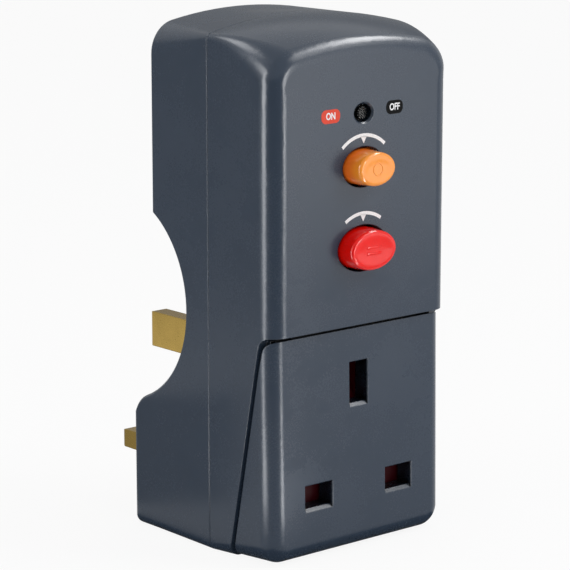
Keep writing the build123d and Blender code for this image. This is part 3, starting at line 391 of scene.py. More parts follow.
@dataclass(frozen=True)
class PolishedPlastic(Finish):
    """Smooth glossy moulding with a faint flow pattern.

    Attributes:
        colour: Screen colour.
        roughness: Roughness of the polished tool.
        specular: Strength of the clear reflection.
        shaded_wall_colour: Screen colour painted as shade on the walls far behind the face, where
            it differs.
        shaded_wall_span: Y where the painted shade starts, and Y where it is full.
        mottle: Share by which the flow changes the colour.
        flow: Size of the flow's waves.
        depth: Their height.
        scuff: Size of a scuff.
    """

    colour: str
    roughness: float = 0.22
    specular: float = 0.5
    # Painted shade: a darker colour for the walls behind the face, where one is given.
    shaded_wall_colour: Optional[str] = None
    shaded_wall_span: Pair = (-50.0 * MM, -46.5 * MM)
    mottle: float = 0.06
    flow: float = 2.4 * MM
    depth: float = 0.004 * MM
    scuff: float = 0.5 * MM

    def build(self, graph: Graph) -> None:
        """Gives a nearly even colour, with slow waves and fine scuffs in the gloss, and painted
        shade on the walls behind the face where a shaded colour is given.

        Args:
            graph: The material's tree.
        """
        point = graph.position()
        flow = graph.noise(point, self.flow)
        scuffs = graph.noise(graph.stretched(point, (1.0, 1.0, 3.0)), self.scuff, detail=4.0)
        worn = graph.smooth_step(scuffs, low=0.55, high=0.8)
        colour = graph.mottled(linear(self.colour), flow, self.mottle)
        # Painted shade: the walls behind the face blend into a darker, redder copy of the colour.
        if self.shaded_wall_colour:
            behind = graph.smooth_step(graph.axis(point, "Y"), *self.shaded_wall_span)
            colour = graph.between(behind, colour, linear(self.shaded_wall_colour))
        graph.surface({
            "Base Color": colour,
            "Roughness": worn * 0.14 + (flow - NOISE_MEAN) * 0.06 + self.roughness,
            "Normal": graph.bump(flow, self.depth),
            "Specular IOR Level": self.specular,
        })


@dataclass(frozen=True)
class StampedMetal(Finish):
    """Bare or plated metal with the drag lines of its tool.

    Attributes:
        colour: Screen colour of the reflection.
        roughness: Roughness of the clean metal.
        lines: How much finer the lines are along X, Y and Z.
        tarnish: Share of dull patches.
        dull: Brightness of the colour on a patch.
        drag: Length of a line.
        patch: Size of a patch.
        depth: Height of the lines.
        edge: Radius that softens sharp edges.
    """

    colour: str
    roughness: float = 0.24
    lines: Point = (9.0, 1.0, 9.0)
    tarnish: float = 0.5
    dull: float = 0.62
    drag: float = 1.1 * MM
    patch: float = 6.0 * MM
    depth: float = 0.004 * MM
    edge: float = 0.25 * MM

    def build(self, graph: Graph) -> None:
        """Gives drag lines to sheen and relief, and patches of tarnish to the colour.

        Args:
            graph: The material's tree.
        """
        point = graph.position()
        drag = graph.noise(graph.stretched(point, self.lines), self.drag, detail=5.0)
        spots = graph.noise(point, self.patch, detail=4.0)
        tarnished = graph.smooth_step(spots, low=0.42, high=0.70) * self.tarnish
        base = linear(self.colour)
        graph.surface({
            "Base Color": graph.between(tarnished, base, shade(base, self.dull)),
            "Metallic": 1.0,
            "Roughness": (drag - NOISE_MEAN) * 0.22 + tarnished * 0.14 + self.roughness,
            "Normal": graph.bump(drag, self.depth, graph.soft_edges(self.edge)),
        })


@dataclass(frozen=True)
class WoundWire(Finish):
    """Enamelled wire laid in close turns.

    Attributes:
        colour: Screen colour of the enamel.
        along: Axis along which the turns follow each other.
        pitch: Distance from turn to turn.
        groove_shade: Brightness of the colour painted as shade in the grooves.
        depth: Depth of the grooves.
    """

    colour: str
    along: str = "X"
    pitch: float = 0.32 * MM
    groove_shade: float = 0.45
    depth: float = 0.08 * MM

    def build(self, graph: Graph) -> None:
        """Gives the turns as waves in the relief, with painted shade in the grooves.

        Args:
            graph: The material's tree.
        """
        phase = graph.axis(graph.position(), self.along) * (2 * pi / self.pitch)
        wave = graph.math("SINE", phase, 0.0) * 0.5 + 0.5
        base = linear(self.colour)
        graph.surface({
            # Painted shade: the colour darkens in the grooves between turns.
            "Base Color": graph.between(wave, shade(base, self.groove_shade), base),
            "Metallic": 0.85,
            "Roughness": 0.42 - wave * 0.14,
            "Normal": graph.bump(wave, self.depth),
        })


@dataclass(frozen=True)
class LacqueredBoard(Finish):
    """Printed circuit board: green lacquer over a net of copper tracks.

    Attributes:
        colour: Screen colour of the lacquer over bare laminate.
        track: Screen colour of the lacquer over copper.
        cell: Size of a cell of the net.
        rings: Number of rings in a cell.
        depth: Height of the tracks.
    """

    colour: str
    track: str
    cell: float = 4.2 * MM
    rings: float = 5.0
    depth: float = 0.03 * MM

    def build(self, graph: Graph) -> None:
        """Gives tracks from the rings of a blocky cell pattern, in colour and a slight relief.

        Args:
            graph: The material's tree.
        """
        flat = graph.stretched(graph.position(), (1.0, 0.0, 1.0))
        distance = graph.value(
            "ShaderNodeTexVoronoi", {"feature": "F1", "distance": "CHEBYCHEV"},
            {"Vector": flat, "Scale": 1 / self.cell}, "Distance",
        )
        band = graph.math("PINGPONG", distance * self.rings, 0.5)
        copper = graph.smooth_step(band, low=0.27, high=0.33)
        graph.surface({
            "Base Color": graph.between(copper, linear(self.colour), linear(self.track)),
            "Roughness": 0.34 - copper * 0.08,
            "Normal": graph.bump(copper, self.depth),
        })


@dataclass(frozen=True)
class TurningFlag(Finish):
    """Matt two-colour flag: a plane through its axle parts the colours.

    Attributes:
        tripped: Screen colour that shows while the contacts are open.
        closed: Screen colour that shows while they are closed.
        axle: Y and Z of the axle.
        turn: Angle of the parting plane below the forward direction, in degrees.
        blur: Half the width of the line between the colours.
        grain: Size of a grain.
        depth: Height of the grain.
    """

    tripped: str
    closed: str
    axle: Pair
    turn: float
    blur: float = 0.05 * MM
    grain: float = 0.6 * MM
    depth: float = 0.004 * MM

    def build(self, graph: Graph) -> None:
        """Lets the side of the parting plane choose the colour, with a fine grain over both.

        Args:
            graph: The material's tree.
        """
        point = graph.position()
        forward = self.axle[0] - graph.axis(point, "Y")
        upward = graph.axis(point, "Z") - self.axle[1]
        above = upward * cos(radians(self.turn)) + forward * sin(radians(self.turn))
        side = graph.smooth_step(above, -self.blur, self.blur)
        grain = graph.noise(point, self.grain)
        graph.surface({
            "Base Color": graph.between(side, linear(self.closed), linear(self.tripped)),
            "Roughness": grain * 0.14 + 0.55,
            "Normal": graph.bump(grain, self.depth),
            "Specular IOR Level": 0.08,
        })


@dataclass(frozen=True)
class ClearPlastic(Finish):
    """Transparent moulding, thin enough to be seen straight through.

    Attributes:
        body: Linear colour of the moulding itself.
        cover: Share of the view through it that the moulding hides.
        smear: Size of a smear.
    """

    body: Colour = (0.02, 0.02, 0.02, 1.0)
    cover: float = 0.14
    smear: float = 2.5 * MM

    def build(self, graph: Graph) -> None:
        """Gives a clear body with faint smears in the gloss.

        Args:
            graph: The material's tree.
        """
        smears = graph.noise(graph.position(), self.smear, detail=1.0)
        graph.surface({
            "Base Color": self.body,
            "Alpha": self.cover,
            "Specular IOR Level": 1.0,
            "Coat Weight": 1.0,
            "Roughness": smears * 0.04 + 0.06,
        })


@dataclass(frozen=True)
class PrintedInk(Finish):
    """Pad-printed ink.

    Attributes:
        colour: Screen colour.
        specular: Strength of the clear reflection.
        thin: Brightness of the colour where the ink is thin.
        spot: Size of a thin spot.
    """

    colour: str
    specular: float = 0.2
    thin: float = 0.9
    spot: float = 0.35 * MM

    def build(self, graph: Graph) -> None:
        """Gives ink of uneven cover with a dull surface.

        Args:
            graph: The material's tree.
        """
        cover = graph.noise(graph.position(), self.spot, detail=3.0)
        full = graph.smooth_step(cover, low=0.3, high=0.7)
        base = linear(self.colour)
        graph.surface({
            "Base Color": graph.between(full, shade(base, self.thin), base),
            "Roughness": cover * 0.2 + 0.4,
            "Specular IOR Level": self.specular,
        })


# Slate shells, with painted shade in gaps and holes within 7 mm of their own walls.
SLATE = SparkedPlastic(
    "slate_shell", "casing", "#2b3746", roughness=0.27, depth=0.003 * MM, edge=0.30 * MM,
    specular=0.33, painted_shade_reach=7.0 * MM,
)
BLACK_MOULDING = SparkedPlastic("black_moulding", "black_plastic", "#26272a", edge=0.0)
CREAM_MOULDING = SparkedPlastic("cream_moulding", "cream_plastic", "#d9d2bd", edge=0.0)
SLEEVE_BLACK = SparkedPlastic("sleeve_black", "sleeve", "#1c1c1e", roughness=0.42, grain=0.5 * MM)
FERRITE = SparkedPlastic("sintered_ring", "ferrite", "#3a3a3c", roughness=0.6, edge=0.0)
BROWN_SKIN = SparkedPlastic(
    "brown_insulation", "brown_insulation", "#5a3420", roughness=0.45, edge=0.0,
)
BLUE_SKIN = SparkedPlastic(
    "blue_insulation", "blue_insulation", "#2350a8", roughness=0.45, edge=0.0,
)
# Orange buttons; their walls behind the face carry a painted shade of redder orange.
ORANGE = PolishedPlastic(
    "orange_button", "orange_plastic", "#ff982c", roughness=0.13, specular=0.45, shaded_wall_colour="#ff7a24",
)
RED = PolishedPlastic("red_button", "red_plastic", "#f01006", roughness=0.13, specular=0.3)
# Shutter red darkened almost to black: painted shade for the inside of the socket holes.
SHADE_DARKENED_CRIMSON = PolishedPlastic(
    "shade_darkened_shutter", "shutter_red", "#4a0914", roughness=0.35, specular=0.15,
)
DIPPED_RED = PolishedPlastic("dipped_resin", "capacitor_red", "#a5331f", roughness=0.3)
LACQUER_BLUE = PolishedPlastic("lacquered_body", "resistor_blue", "#5d8fc0", roughness=0.35)
BRASS = StampedMetal("stamped_brass", "brass", "#b3964f", tarnish=0.2)
BRONZE = StampedMetal("bronze_strip", "bronze", "#b98a5c", lines=(1.0, 9.0, 9.0))
COPPER = StampedMetal("copper_strip", "copper", "#c98465", lines=(9.0, 9.0, 1.0), tarnish=0.3)
PLATED_STEEL = StampedMetal("plated_steel", "steel", "#b9bbbf", roughness=0.3, tarnish=0.25)
COIL_WIRE = WoundWire("coil_wire", "enamelled_wire", "#b5562e")
CORE_WIRE = WoundWire("core_wire", "enamelled_wire", "#b5562e", along="Z", pitch=0.45 * MM)
BOARD = LacqueredBoard("lacquered_board", "board_green", "#1f6b3c", "#2f8a4c")
FLAG = TurningFlag(
    "turning_flag", "flag", "#101112", "#e6622e", axle=(FLAG_AXLE_Y, WINDOW_AXIS_Z), turn=19.0,
)
CLEAR = ClearPlastic("clear_moulding", "window")
WHITE_INK = PrintedInk("white_ink", "casing", "#f2f3f4")
ORANGE_INK = PrintedInk("orange_ink", "orange_plastic", "#df3f22")
BLACK_INK = PrintedInk("black_ink", "black_plastic", "#060607", specular=0.05)


def edges_of(verts: Verts) -> Edges:
    """All edges that meet the given vertices, each once."""
    return list({edge for vert in verts for edge in vert.link_edges})


def edges_along(verts: Verts, axis: int) -> Edges:
    """The edges of an upright box that run along X, Y or Z, by the number 0, 1 or 2."""
    spans = ((edge, edge.verts[0].co - edge.verts[1].co) for edge in edges_of(verts))
    return [edge for edge, span in spans if abs(span[axis]) > span.length / 2]


def bevel(shape: Shape, edges: Edges, radius: float, segments: int = 2) -> None:
    """Rounds edges.

    Args:
        shape: Mesh that they are in.
        edges: The edges.
        radius: How far the rounding reaches.
        segments: Number of steps in it.
    """
    bmesh.ops.bevel(
        shape, geom=edges, offset=radius, offset_type="OFFSET", affect="EDGES",
        segments=segments, profile=0.5, material=-1,
    )


def add_sheet(shape: Shape, width: float, height: float) -> Verts:
    """Adds a rectangle round the origin that faces up.

    Args:
        shape: Mesh that it is added to.
        width: Its size along X.
        height: Its size along Y.

    Returns:
        Its vertices.
    """
    sheet = bmesh.ops.create_grid(shape, x_segments=1, y_segments=1, size=0.5)["verts"]
    bmesh.ops.scale(shape, vec=(width, height, 1.0), verts=sheet)
    return sheet


def add_bar(shape: Shape, size: Sequence[float], middle: Sequence[float]) -> Verts:
    """Adds an upright box.

    Args:
        shape: Mesh that it is added to.
        size: Its size along X, Y and Z.
        middle: Where its middle is.

    Returns:
        Its vertices.
    """
    bar = bmesh.ops.create_cube(shape, size=1.0)["verts"]
    bmesh.ops.scale(shape, vec=size, verts=bar)
    bmesh.ops.translate(shape, vec=middle, verts=bar)
    return bar


def grow_oval(shape: Shape, half: Pair, stations: Sequence[Pair], sides: int) -> None:
    """Adds a closed oval column along +Z that changes its size from station to station.

    Args:
        shape: Mesh that it is added to.
        half: Half the width and half the height of the oval.
        stations: Height of each station, and how far the oval is inset there.
        sides: Number of sides.
    """
    ring = bmesh.ops.create_circle(shape, cap_ends=True, segments=sides, radius=1.0)["verts"]
    face = ring[0].link_faces[0]
    size, level = (1.0, 1.0), 0.0
    for number, (height, inset) in enumerate(stations):
        if number:
            grown = bmesh.ops.extrude_face_region(shape, geom=[face])["geom"]
            if number > 1:
                bmesh.ops.delete(shape, geom=[face], context="FACES_ONLY")
            ring = [part for part in grown if isinstance(part, bmesh.types.BMVert)]
            face = next(part for part in grown if isinstance(part, bmesh.types.BMFace))
        wanted = (half[0] - inset, half[1] - inset)
        factors = (wanted[0] / size[0], wanted[1] / size[1], 1.0)
        bmesh.ops.scale(shape, vec=factors, verts=ring)
        bmesh.ops.translate(shape, vec=(0.0, 0.0, height - level), verts=ring)
        size, level = wanted, height


def arc_stations(
    level: float, inset: float, radius: float, sweep: float, steps: int,
) -> list[Pair]:
    """Works out stations over a rounded edge, from its outside over its top.

    Args:
        level: Height of its top.
        inset: Inset of its outside.
        radius: Its radius.
        sweep: Angle that the stations pass through, in degrees.
        steps: Number of steps in that angle.

    Returns:
        Height and inset of each station.
    """
    turns = [radians(sweep * step / steps) for step in range(steps + 1)]
    return [(level - radius * (1 - sin(t)), inset + radius * (1 - cos(t))) for t in turns]


def put_in_scene(name: str, data: bpy.types.ID) -> bpy.types.Object:
    """Makes an object of a mesh, lamp, camera or curve.

    Args:
        name: Name of the object.
        data: What it shows.

    Returns:
        The object.
    """
    made = bpy.data.objects.new(name, data)
    bpy.context.scene.collection.objects.link(made)
    return made


def make_object(name: str, shape: Shape, material: bpy.types.Material) -> bpy.types.Object:
    """Turns a finished bmesh into an object.

    Args:
        name: Name of the object.
        shape: Its mesh, in place. It is freed.
        material: Its one material.

    Returns:
        The object.
    """
    mesh = bpy.data.meshes.new(name)
    shape.to_mesh(mesh)
    shape.free()
    mesh.materials.append(material)
    return put_in_scene(name, mesh)


class Assembly(ABC):
    """A part of the adaptor that builds its own pieces and dresses its own nodes.

    Attributes:
        body: Body that its pieces and nodes ride on.
    """

    body: str

    @abstractmethod
    def build(self) -> None:
        """Makes and dresses everything that belongs to the assembly."""

    def dress(self, finish: Finish, *nodes: str) -> None:
        """Gives a finish to carried-over nodes.

        Args:
            finish: What they are made of.
            nodes: Their names.
        """
        for name in nodes:
            for holder in frame["nodes"][name].material_slots:
                holder.material = finish.material()
            log.info("dressed %s in %s", name, finish.name)

    def piece(
        self, name: str, shape: Shape, finish: Finish, replaces: Sequence[str] = (),
        crease: float = 35.0, rides: bool = True,
    ) -> bpy.types.Object:
        """Turns a finished bmesh into a piece of the object.

        Args:
            name: Name of the piece.
            shape: Its mesh, in place. It is freed.
            finish: What it is made of.
            replaces: Nodes that it stands for.
            crease: Angle above which an edge stays sharp, in degrees.
            rides: Whether it rides on the assembly's body.

        Returns:
            The new object.
        """
        bmesh.ops.remove_doubles(shape, verts=shape.verts, dist=WELD)
        bmesh.ops.recalc_face_normals(shape, faces=shape.faces)
        made = make_object(name, shape, finish.material())
        made.data.shade_smooth()
        made.data.set_sharp_from_angle(angle=radians(crease))
        if rides:
            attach(made, self.body)
        if replaces:
            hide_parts(*replaces)
        log.info("built %s: %d faces, %s", name, len(made.data.polygons), finish.name)
        return made


@dataclass
class Casing(Assembly):
    """The two shells, the socket cover and what is fixed inside them."""

    body: str = "casing"

    def build(self) -> None:
        """Dresses the shells, the inner mouldings and the screws."""
        self.dress(SLATE, "rear_housing", "front_housing", "socket_cover")
        self.dress(BLACK_MOULDING, "pin_retainer", "contact_block", "mechanism_frame")
        self.dress(PLATED_STEEL, "housing_screws", "cover_screws")


@dataclass
class Plug(Assembly):
    """Pins, their sleeves and the socket's contacts."""

    body: str = "casing"

    def build(self) -> None:
        """Dresses the brass and the insulating sleeves."""
        for pole in ("earth", "live", "neutral"):
            self.dress(BRASS, pole + "_pin", pole + "_contact")
        self.dress(SLEEVE_BLACK, "live_pin_sleeve", "neutral_pin_sleeve")


@dataclass
class Shutter(Assembly):
    """Sliding safety shutter."""

    body: str = "shutter"

    def build(self) -> None:
        """Dresses the shutter."""
        # The shutter's near-black red is painted shade.
        self.dress(SHADE_DARKENED_CRIMSON, "shutter")


class Mark(Enum):
    """Relief on a button's face."""

    RING = "ring"
    BAR = "bar"


@dataclass
class PushButton(Assembly):
    """Oval push button with a dished face that holds a raised mark.

    Attributes:
        body: Body and node of the button.
        finish: What it is made of.
        mark: Relief in the dish.
        half: Half the width and half the height of the cap.
        middle: Height of its axis over the frame's origin.
        front: Y of the rim of the cap.
        end: Y of the far end of the stem.
        flange: Half the width and half the height of the retaining flange.
        notch: Y of the notch's two ends and its radius, or nothing.
        flange_front: Y of the flange's front.
        flange_thick: Thickness of the flange.
        flange_ease: Radius of the flange's edges.
        stem: Radius of the stem.
        stem_ease: Width of the chamfer at the stem's end.
        draft: How much smaller the cap is at its face.
        rim_round: Radius of the rim.
        rim: Width of the flat rim round the dish.
        dish: Depth of the dish.
        relief: Height of the mark.
        ring: Radius of a raised ring.
        ring_sides: Sides of a cut through it.
        ring_steps: Steps round it.
        bar: Width and height of a raised bar.
        bar_offset: Height of a raised bar over or under the middle.
        bar_ease: Radius of a raised bar's edges.
        sides: Number of sides of the oval.
        stem_sides: Number of sides of the stem.
        rim_steps: Steps in the rounded rim.
        dish_shares: Shares of the way to the middle at which the dish has its stations.
        dish_floor: Share at which the dish reaches its depth.
    """

    body: str
    finish: Finish
    mark: Mark
    half: Pair
    middle: float
    front: float
    end: float
    flange: Pair
    notch: Optional[Point] = None
    flange_front: float = -43.6 * MM
    flange_thick: float = 1.2 * MM
    flange_ease: float = 0.15 * MM
    stem: float = 2.2 * MM
    stem_ease: float = 0.3 * MM
    draft: float = 0.35 * MM
    rim_round: float = 0.7 * MM
    rim: float = 0.35 * MM
    dish: float = 0.09 * MM
    relief: float = 0.09 * MM
    ring: float = 1.25 * MM
    ring_sides: int = 8
    ring_steps: int = 40
    bar: Pair = (3.8 * MM, 0.5 * MM)
    bar_offset: float = 0.62 * MM
    bar_ease: float = 0.05 * MM
    sides: int = 96
    stem_sides: int = 32
    rim_steps: int = 8
    dish_shares: tuple[float, ...] = (0.12, 0.25, 0.4, 0.6, 0.85)
    dish_floor: float = 0.6

    def build(self) -> None:
        """Makes the button in place of its plain node."""
        shape = bmesh.new()
        grow_oval(shape, self.half, self._cap_stations(), self.sides)
        self._add_mark(shape)
        grow_oval(shape, (self.stem, self.stem), self._stem_stations(), self.stem_sides)
        size = (2 * self.flange[0], 2 * self.flange[1], self.flange_thick)
        flange = add_bar(shape, size, (0.0, 0.0, -self.flange_front - self.flange_thick / 2))
        bevel(shape, edges_of(flange), self.flange_ease)
        bmesh.ops.transform(shape, matrix=FACING_FRONT, verts=shape.verts)
        bmesh.ops.translate(shape, vec=(0.0, 0.0, self.middle), verts=shape.verts)
        self.piece(self.body + "_cap", shape, self.finish, (self.body,), crease=40.0)

    def _cap_stations(self) -> list[Pair]:
        """Works out stations from the flange over the drafted wall and the rim into the dish.

        Returns:
            Height and inset of each station.
        """
        level = -self.front
        rim = arc_stations(level, self.draft, self.rim_round, 90.0, self.rim_steps)
        edge = self.draft + self.rim_round + self.rim
        stations = [(-self.flange_front, 0.0), *rim, (level, edge)]
        for share in self.dish_shares:
            fall = sin(radians(90.0) * min(share / self.dish_floor, 1.0)) ** 2
            inset = edge + (self.half[1] - edge) * share
            stations.append((level - self.dish * fall, inset))
        return stations

    def _stem_stations(self) -> list[Pair]:
        """Works out stations from the stem's end to the flange, with the notch where there is one.

        Returns:
            Height and inset of each station.
        """
        stations = [(-self.end, self.stem_ease), (-self.end + self.stem_ease, 0.0)]
        if self.notch:
            near, far, radius = self.notch
            inset = self.stem - radius
            stations += [(-far, 0.0), (-far, inset), (-near, inset), (-near, 0.0)]
        return stations + [(-self.flange_front - self.flange_thick / 2, 0.0)]

    def _add_mark(self, shape: Shape) -> None:
        """Adds the raised ring or bars to the bottom of the dish.

        Args:
            shape: Mesh of the button, before it faces the front.
        """
        floor = -self.front - self.dish
        if self.mark is Mark.BAR:
            for offset in (-self.bar_offset, self.bar_offset):
                middle = (0.0, offset, floor + self.relief / 2)
                bar = add_bar(shape, (*self.bar, self.relief), middle)
                bevel(shape, edges_of(bar), self.bar_ease)
            return
        verts = bmesh.ops.create_circle(
            shape, cap_ends=False, segments=self.ring_sides, radius=self.relief,
        )["verts"]
        bmesh.ops.transform(shape, matrix=FACING_FRONT, verts=verts)
        bmesh.ops.translate(shape, vec=(self.ring, 0.0, floor), verts=verts)
        bmesh.ops.spin(
            shape, geom=edges_of(verts), cent=(0.0, 0.0, 0.0), axis=(0.0, 0.0, 1.0),
            angle=2 * pi, steps=self.ring_steps, use_merge=True,
        )


@dataclass(frozen=True)
class Pill:
    """A printed pill with a word on it.

    Attributes:
        word: The letters. In small ones they start the names of the two pieces.
        place: X and Z of its centre.
        size: Its width and height.
        ink: Its ink.
    """

    word: str
    place: Pair
    size: Pair
    ink: PrintedInk


@dataclass
class StatusPanel(Assembly):
    """Window and what is printed on the front: pills that say what the flag shows, and pointers.

    Attributes:
        body: Body that it rides on.
        pills: The pills.
        pointers: Name of each pointer, Z of its highest point and half its angle in degrees.
        pill_round: Radius of a pill's corners.
        pill_steps: Steps in a corner.
        ink: Thickness of one layer of ink.
        letter_size: Size of the letters.
        letter_narrow: Width of the letters against a plain face.
        letter_bold: How much their strokes are thickened on each side.
        arc_line: Width of a pointer's line.
        arc_radius: Radius of a pointer's line.
        arc_steps: Steps in it.
        head_radius: Radius of a pointer's triangular head.
        head_drop: Distance of the head's middle below the line.
        face_y: Y of the printed face.
        disc_radius: Radius of the window's disc behind the wall.
        disc_levels: Distance in front of the origin of the disc's back and front.
        disc_ease: Width of the chamfer round the disc.
        lens_radius: Radius of the lens that stands in the hole.
        lens_level: Distance in front of the origin of the lens's highest ring.
        lens_sides: Sides of the disc and the lens.
        bead: Radius of the rounded ring round the lens.
        bead_sweep: Angle that the ring's section passes through, in degrees.
        bead_steps: Steps in that angle.
    """

    body: str = "casing"
    pills: tuple[Pill, ...] = (
        Pill("ON", (-8.94 * MM, 67.16 * MM), (5.0 * MM, 2.8 * MM), ORANGE_INK),
        Pill("OFF", (8.45 * MM, 67.6 * MM), (4.6 * MM, 2.8 * MM), BLACK_INK),
    )
    pointers: tuple[tuple[str, float, float], ...] = (
        ("reset_pointer", 62.6 * MM, 42.0),
        ("test_pointer", 46.6 * MM, 34.0),
    )
    pill_round: float = 1.2 * MM
    pill_steps: int = 8
    ink: float = 0.03 * MM
    letter_size: float = 1.95 * MM
    letter_narrow: float = 0.82
    letter_bold: float = 0.05 * MM
    arc_line: float = 0.7 * MM
    arc_radius: float = 8.6 * MM
    arc_steps: int = 32
    head_radius: float = 0.95 * MM
    head_drop: float = 0.75 * MM
    face_y: float = field(default_factory=lambda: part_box("front_housing")[0].y)
    disc_radius: float = 3.4 * MM
    disc_levels: Pair = (42.67 * MM, 43.87 * MM)
    disc_ease: float = 0.15 * MM
    lens_radius: float = 1.4 * MM
    lens_level: float = 45.57 * MM
    lens_sides: int = 48
    bead: float = 0.28 * MM
    bead_sweep: float = 165.0
    bead_steps: int = 11

    def build(self) -> None:
        """Makes the window and prints the pills and pointers."""
        self._window()
        for pill in self.pills:
            self._pill(pill)
        for pill in self.pills:
            self._word(pill)
        for name, top, half_angle in self.pointers:
            self._pointer(name, top, half_angle)

    def _window(self) -> None:
        """Makes the clear window: a disc behind the wall, and a beaded lens in the hole."""
        back, front = self.disc_levels
        ease = self.disc_ease
        foot = self.disc_radius - self.lens_radius
        stations = [(back, ease), (back + ease, 0.0), (front - ease, 0.0), (front, ease)]
        bead = arc_stations(self.lens_level, foot, self.bead, self.bead_sweep, self.bead_steps)
        level, inset = bead[-1]
        stations += [(front, foot), *bead, (level, inset + ease)]
        shape = bmesh.new()
        grow_oval(shape, (self.disc_radius, self.disc_radius), stations, self.lens_sides)
        bmesh.ops.transform(shape, matrix=FACING_FRONT, verts=shape.verts)
        bmesh.ops.translate(shape, vec=(0.0, 0.0, WINDOW_AXIS_Z), verts=shape.verts)
        self.piece("window_lens", shape, CLEAR, ("indicator_window",), crease=40.0)

    def _pointer(self, name: str, top: float, half_angle: float) -> None:
        """Prints a curved line over a button, with a small head that points down at it.

        Args:
            name: Name of the piece.
            top: Z of the line's highest point.
            half_angle: Half the angle that it spans, in degrees.
        """
        shape = bmesh.new()
        start = add_sheet(shape, self.arc_line, 2 * self.ink)
        bmesh.ops.rotate(shape, verts=start, matrix=Matrix.Rotation(radians(90), 3, "Y"))
        bmesh.ops.translate(shape, vec=(0.0, 0.0, self.arc_radius), verts=start)
        tilt = Matrix.Rotation(radians(-half_angle), 3, "Y")
        bmesh.ops.rotate(shape, verts=start, matrix=tilt)
        bmesh.ops.spin(
            shape, geom=list(shape.faces), cent=(0.0, 0.0, 0.0), axis=(0.0, 1.0, 0.0),
            angle=radians(2 * half_angle), steps=self.arc_steps, use_merge=False,
        )
        head = bmesh.ops.create_cone(
            shape, cap_ends=True, segments=3, radius1=self.head_radius,
            radius2=self.head_radius, depth=2 * self.ink,
        )["verts"]
        bmesh.ops.transform(shape, matrix=FACING_FRONT, verts=head)
        corner = head[0].co
        tip_down = Matrix.Rotation(pi - atan2(corner.x, corner.z), 3, "Y")
        bmesh.ops.rotate(shape, verts=head, matrix=tip_down)
        drop = self.arc_radius - self.head_drop
        bmesh.ops.translate(shape, vec=(0.0, 0.0, drop), verts=head)
        centre = (0.0, self.face_y, top - self.arc_radius)
        bmesh.ops.translate(shape, vec=centre, verts=shape.verts)
        self.piece(name, shape, WHITE_INK)

    def _pill(self, pill: Pill) -> None:
        """Prints one pill.

        Args:
            pill: The pill.
        """
        shape = bmesh.new()
        size = (pill.size[0], 2 * self.ink, pill.size[1])
        bar = add_bar(shape, size, (pill.place[0], self.face_y, pill.place[1]))
        bevel(shape, edges_along(bar, 1), self.pill_round, self.pill_steps)
        self.piece(pill.word.lower() + "_pill", shape, pill.ink)

    def _word(self, pill: Pill) -> None:
        """Prints the word on a pill.

        Args:
            pill: The pill.
        """
        name = pill.word.lower() + "_word"
        curve = bpy.data.curves.new(name, "FONT")
        curve.body = pill.word
        curve.size = self.letter_size
        curve.align_x, curve.align_y = "CENTER", "CENTER"
        curve.extrude = self.ink
        curve.offset = self.letter_bold
        curve.resolution_u = 4
        holder = put_in_scene(name, curve)
        bpy.context.view_layer.update()
        mesh = bpy.data.meshes.new_from_object(holder)
        bpy.data.objects.remove(holder)
        bpy.data.curves.remove(curve)
        shape = bmesh.new()
        shape.from_mesh(mesh)
        bpy.data.meshes.remove(mesh)
        bmesh.ops.scale(shape, vec=(self.letter_narrow, 1.0, 1.0), verts=shape.verts)
        bmesh.ops.transform(shape, matrix=FACING_FRONT, verts=shape.verts)
        centre = (pill.place[0], self.face_y - self.ink, pill.place[1])
        bmesh.ops.translate(shape, vec=centre, verts=shape.verts)
        self.piece(name, shape, WHITE_INK)


@dataclass
class Flag(Assembly):
    """Two-colour flag behind the window."""

    body: str = "flag"

    def build(self) -> None:
        """Dresses the flag."""
        self.dress(FLAG, "indicator_flag")


@dataclass
class Mechanism(Assembly):
    """Contacts, latch, trip coil, sensing core and board."""

    body: str = "casing"

    def build(self) -> None:
        """Dresses the working parts inside the casing."""
        self.dress(CREAM_MOULDING, "contact_carrier", "coil_former")
        for pole in ("live", "neutral"):
            self.dress(COPPER, pole + "_bridge", pole + "_input_strip", pole + "_output_strip")
        self.dress(PLATED_STEEL, "latch_lever", "latch_pin", "trip_plunger", "coil_yoke")
        self.dress(COIL_WIRE, "coil_winding")
        self.dress(CORE_WIRE, "sensing_winding")
        self.dress(FERRITE, "sensing_core")
        self.dress(BOARD, "circuit_board")
        self.dress(BLACK_MOULDING, "board_chip")
        self.dress(DIPPED_RED, "board_capacitor")
        self.dress(LACQUER_BLUE, "board_resistors")
        self.dress(BROWN_SKIN, "live_lead")
        self.dress(BLUE_SKIN, "neutral_lead")


@dataclass(frozen=True)
class Coil:
    """A coil spring that stands for a node, with the joint that would squeeze it.

    Attributes:
        node: The node.
        joint: The joint.
        axis: Direction from its fixed end to the end that moves.
        radius: Radius of the wire's middle line.
        wire: Diameter of the wire.
        turns: Number of turns, with the closed turn at each end.
        offsets: Where each coil of the node stands, along X from the middle.
    """

    node: str
    joint: str
    axis: Point
    radius: float
    wire: float
    turns: int
    offsets: tuple[float, ...] = (0.0,)


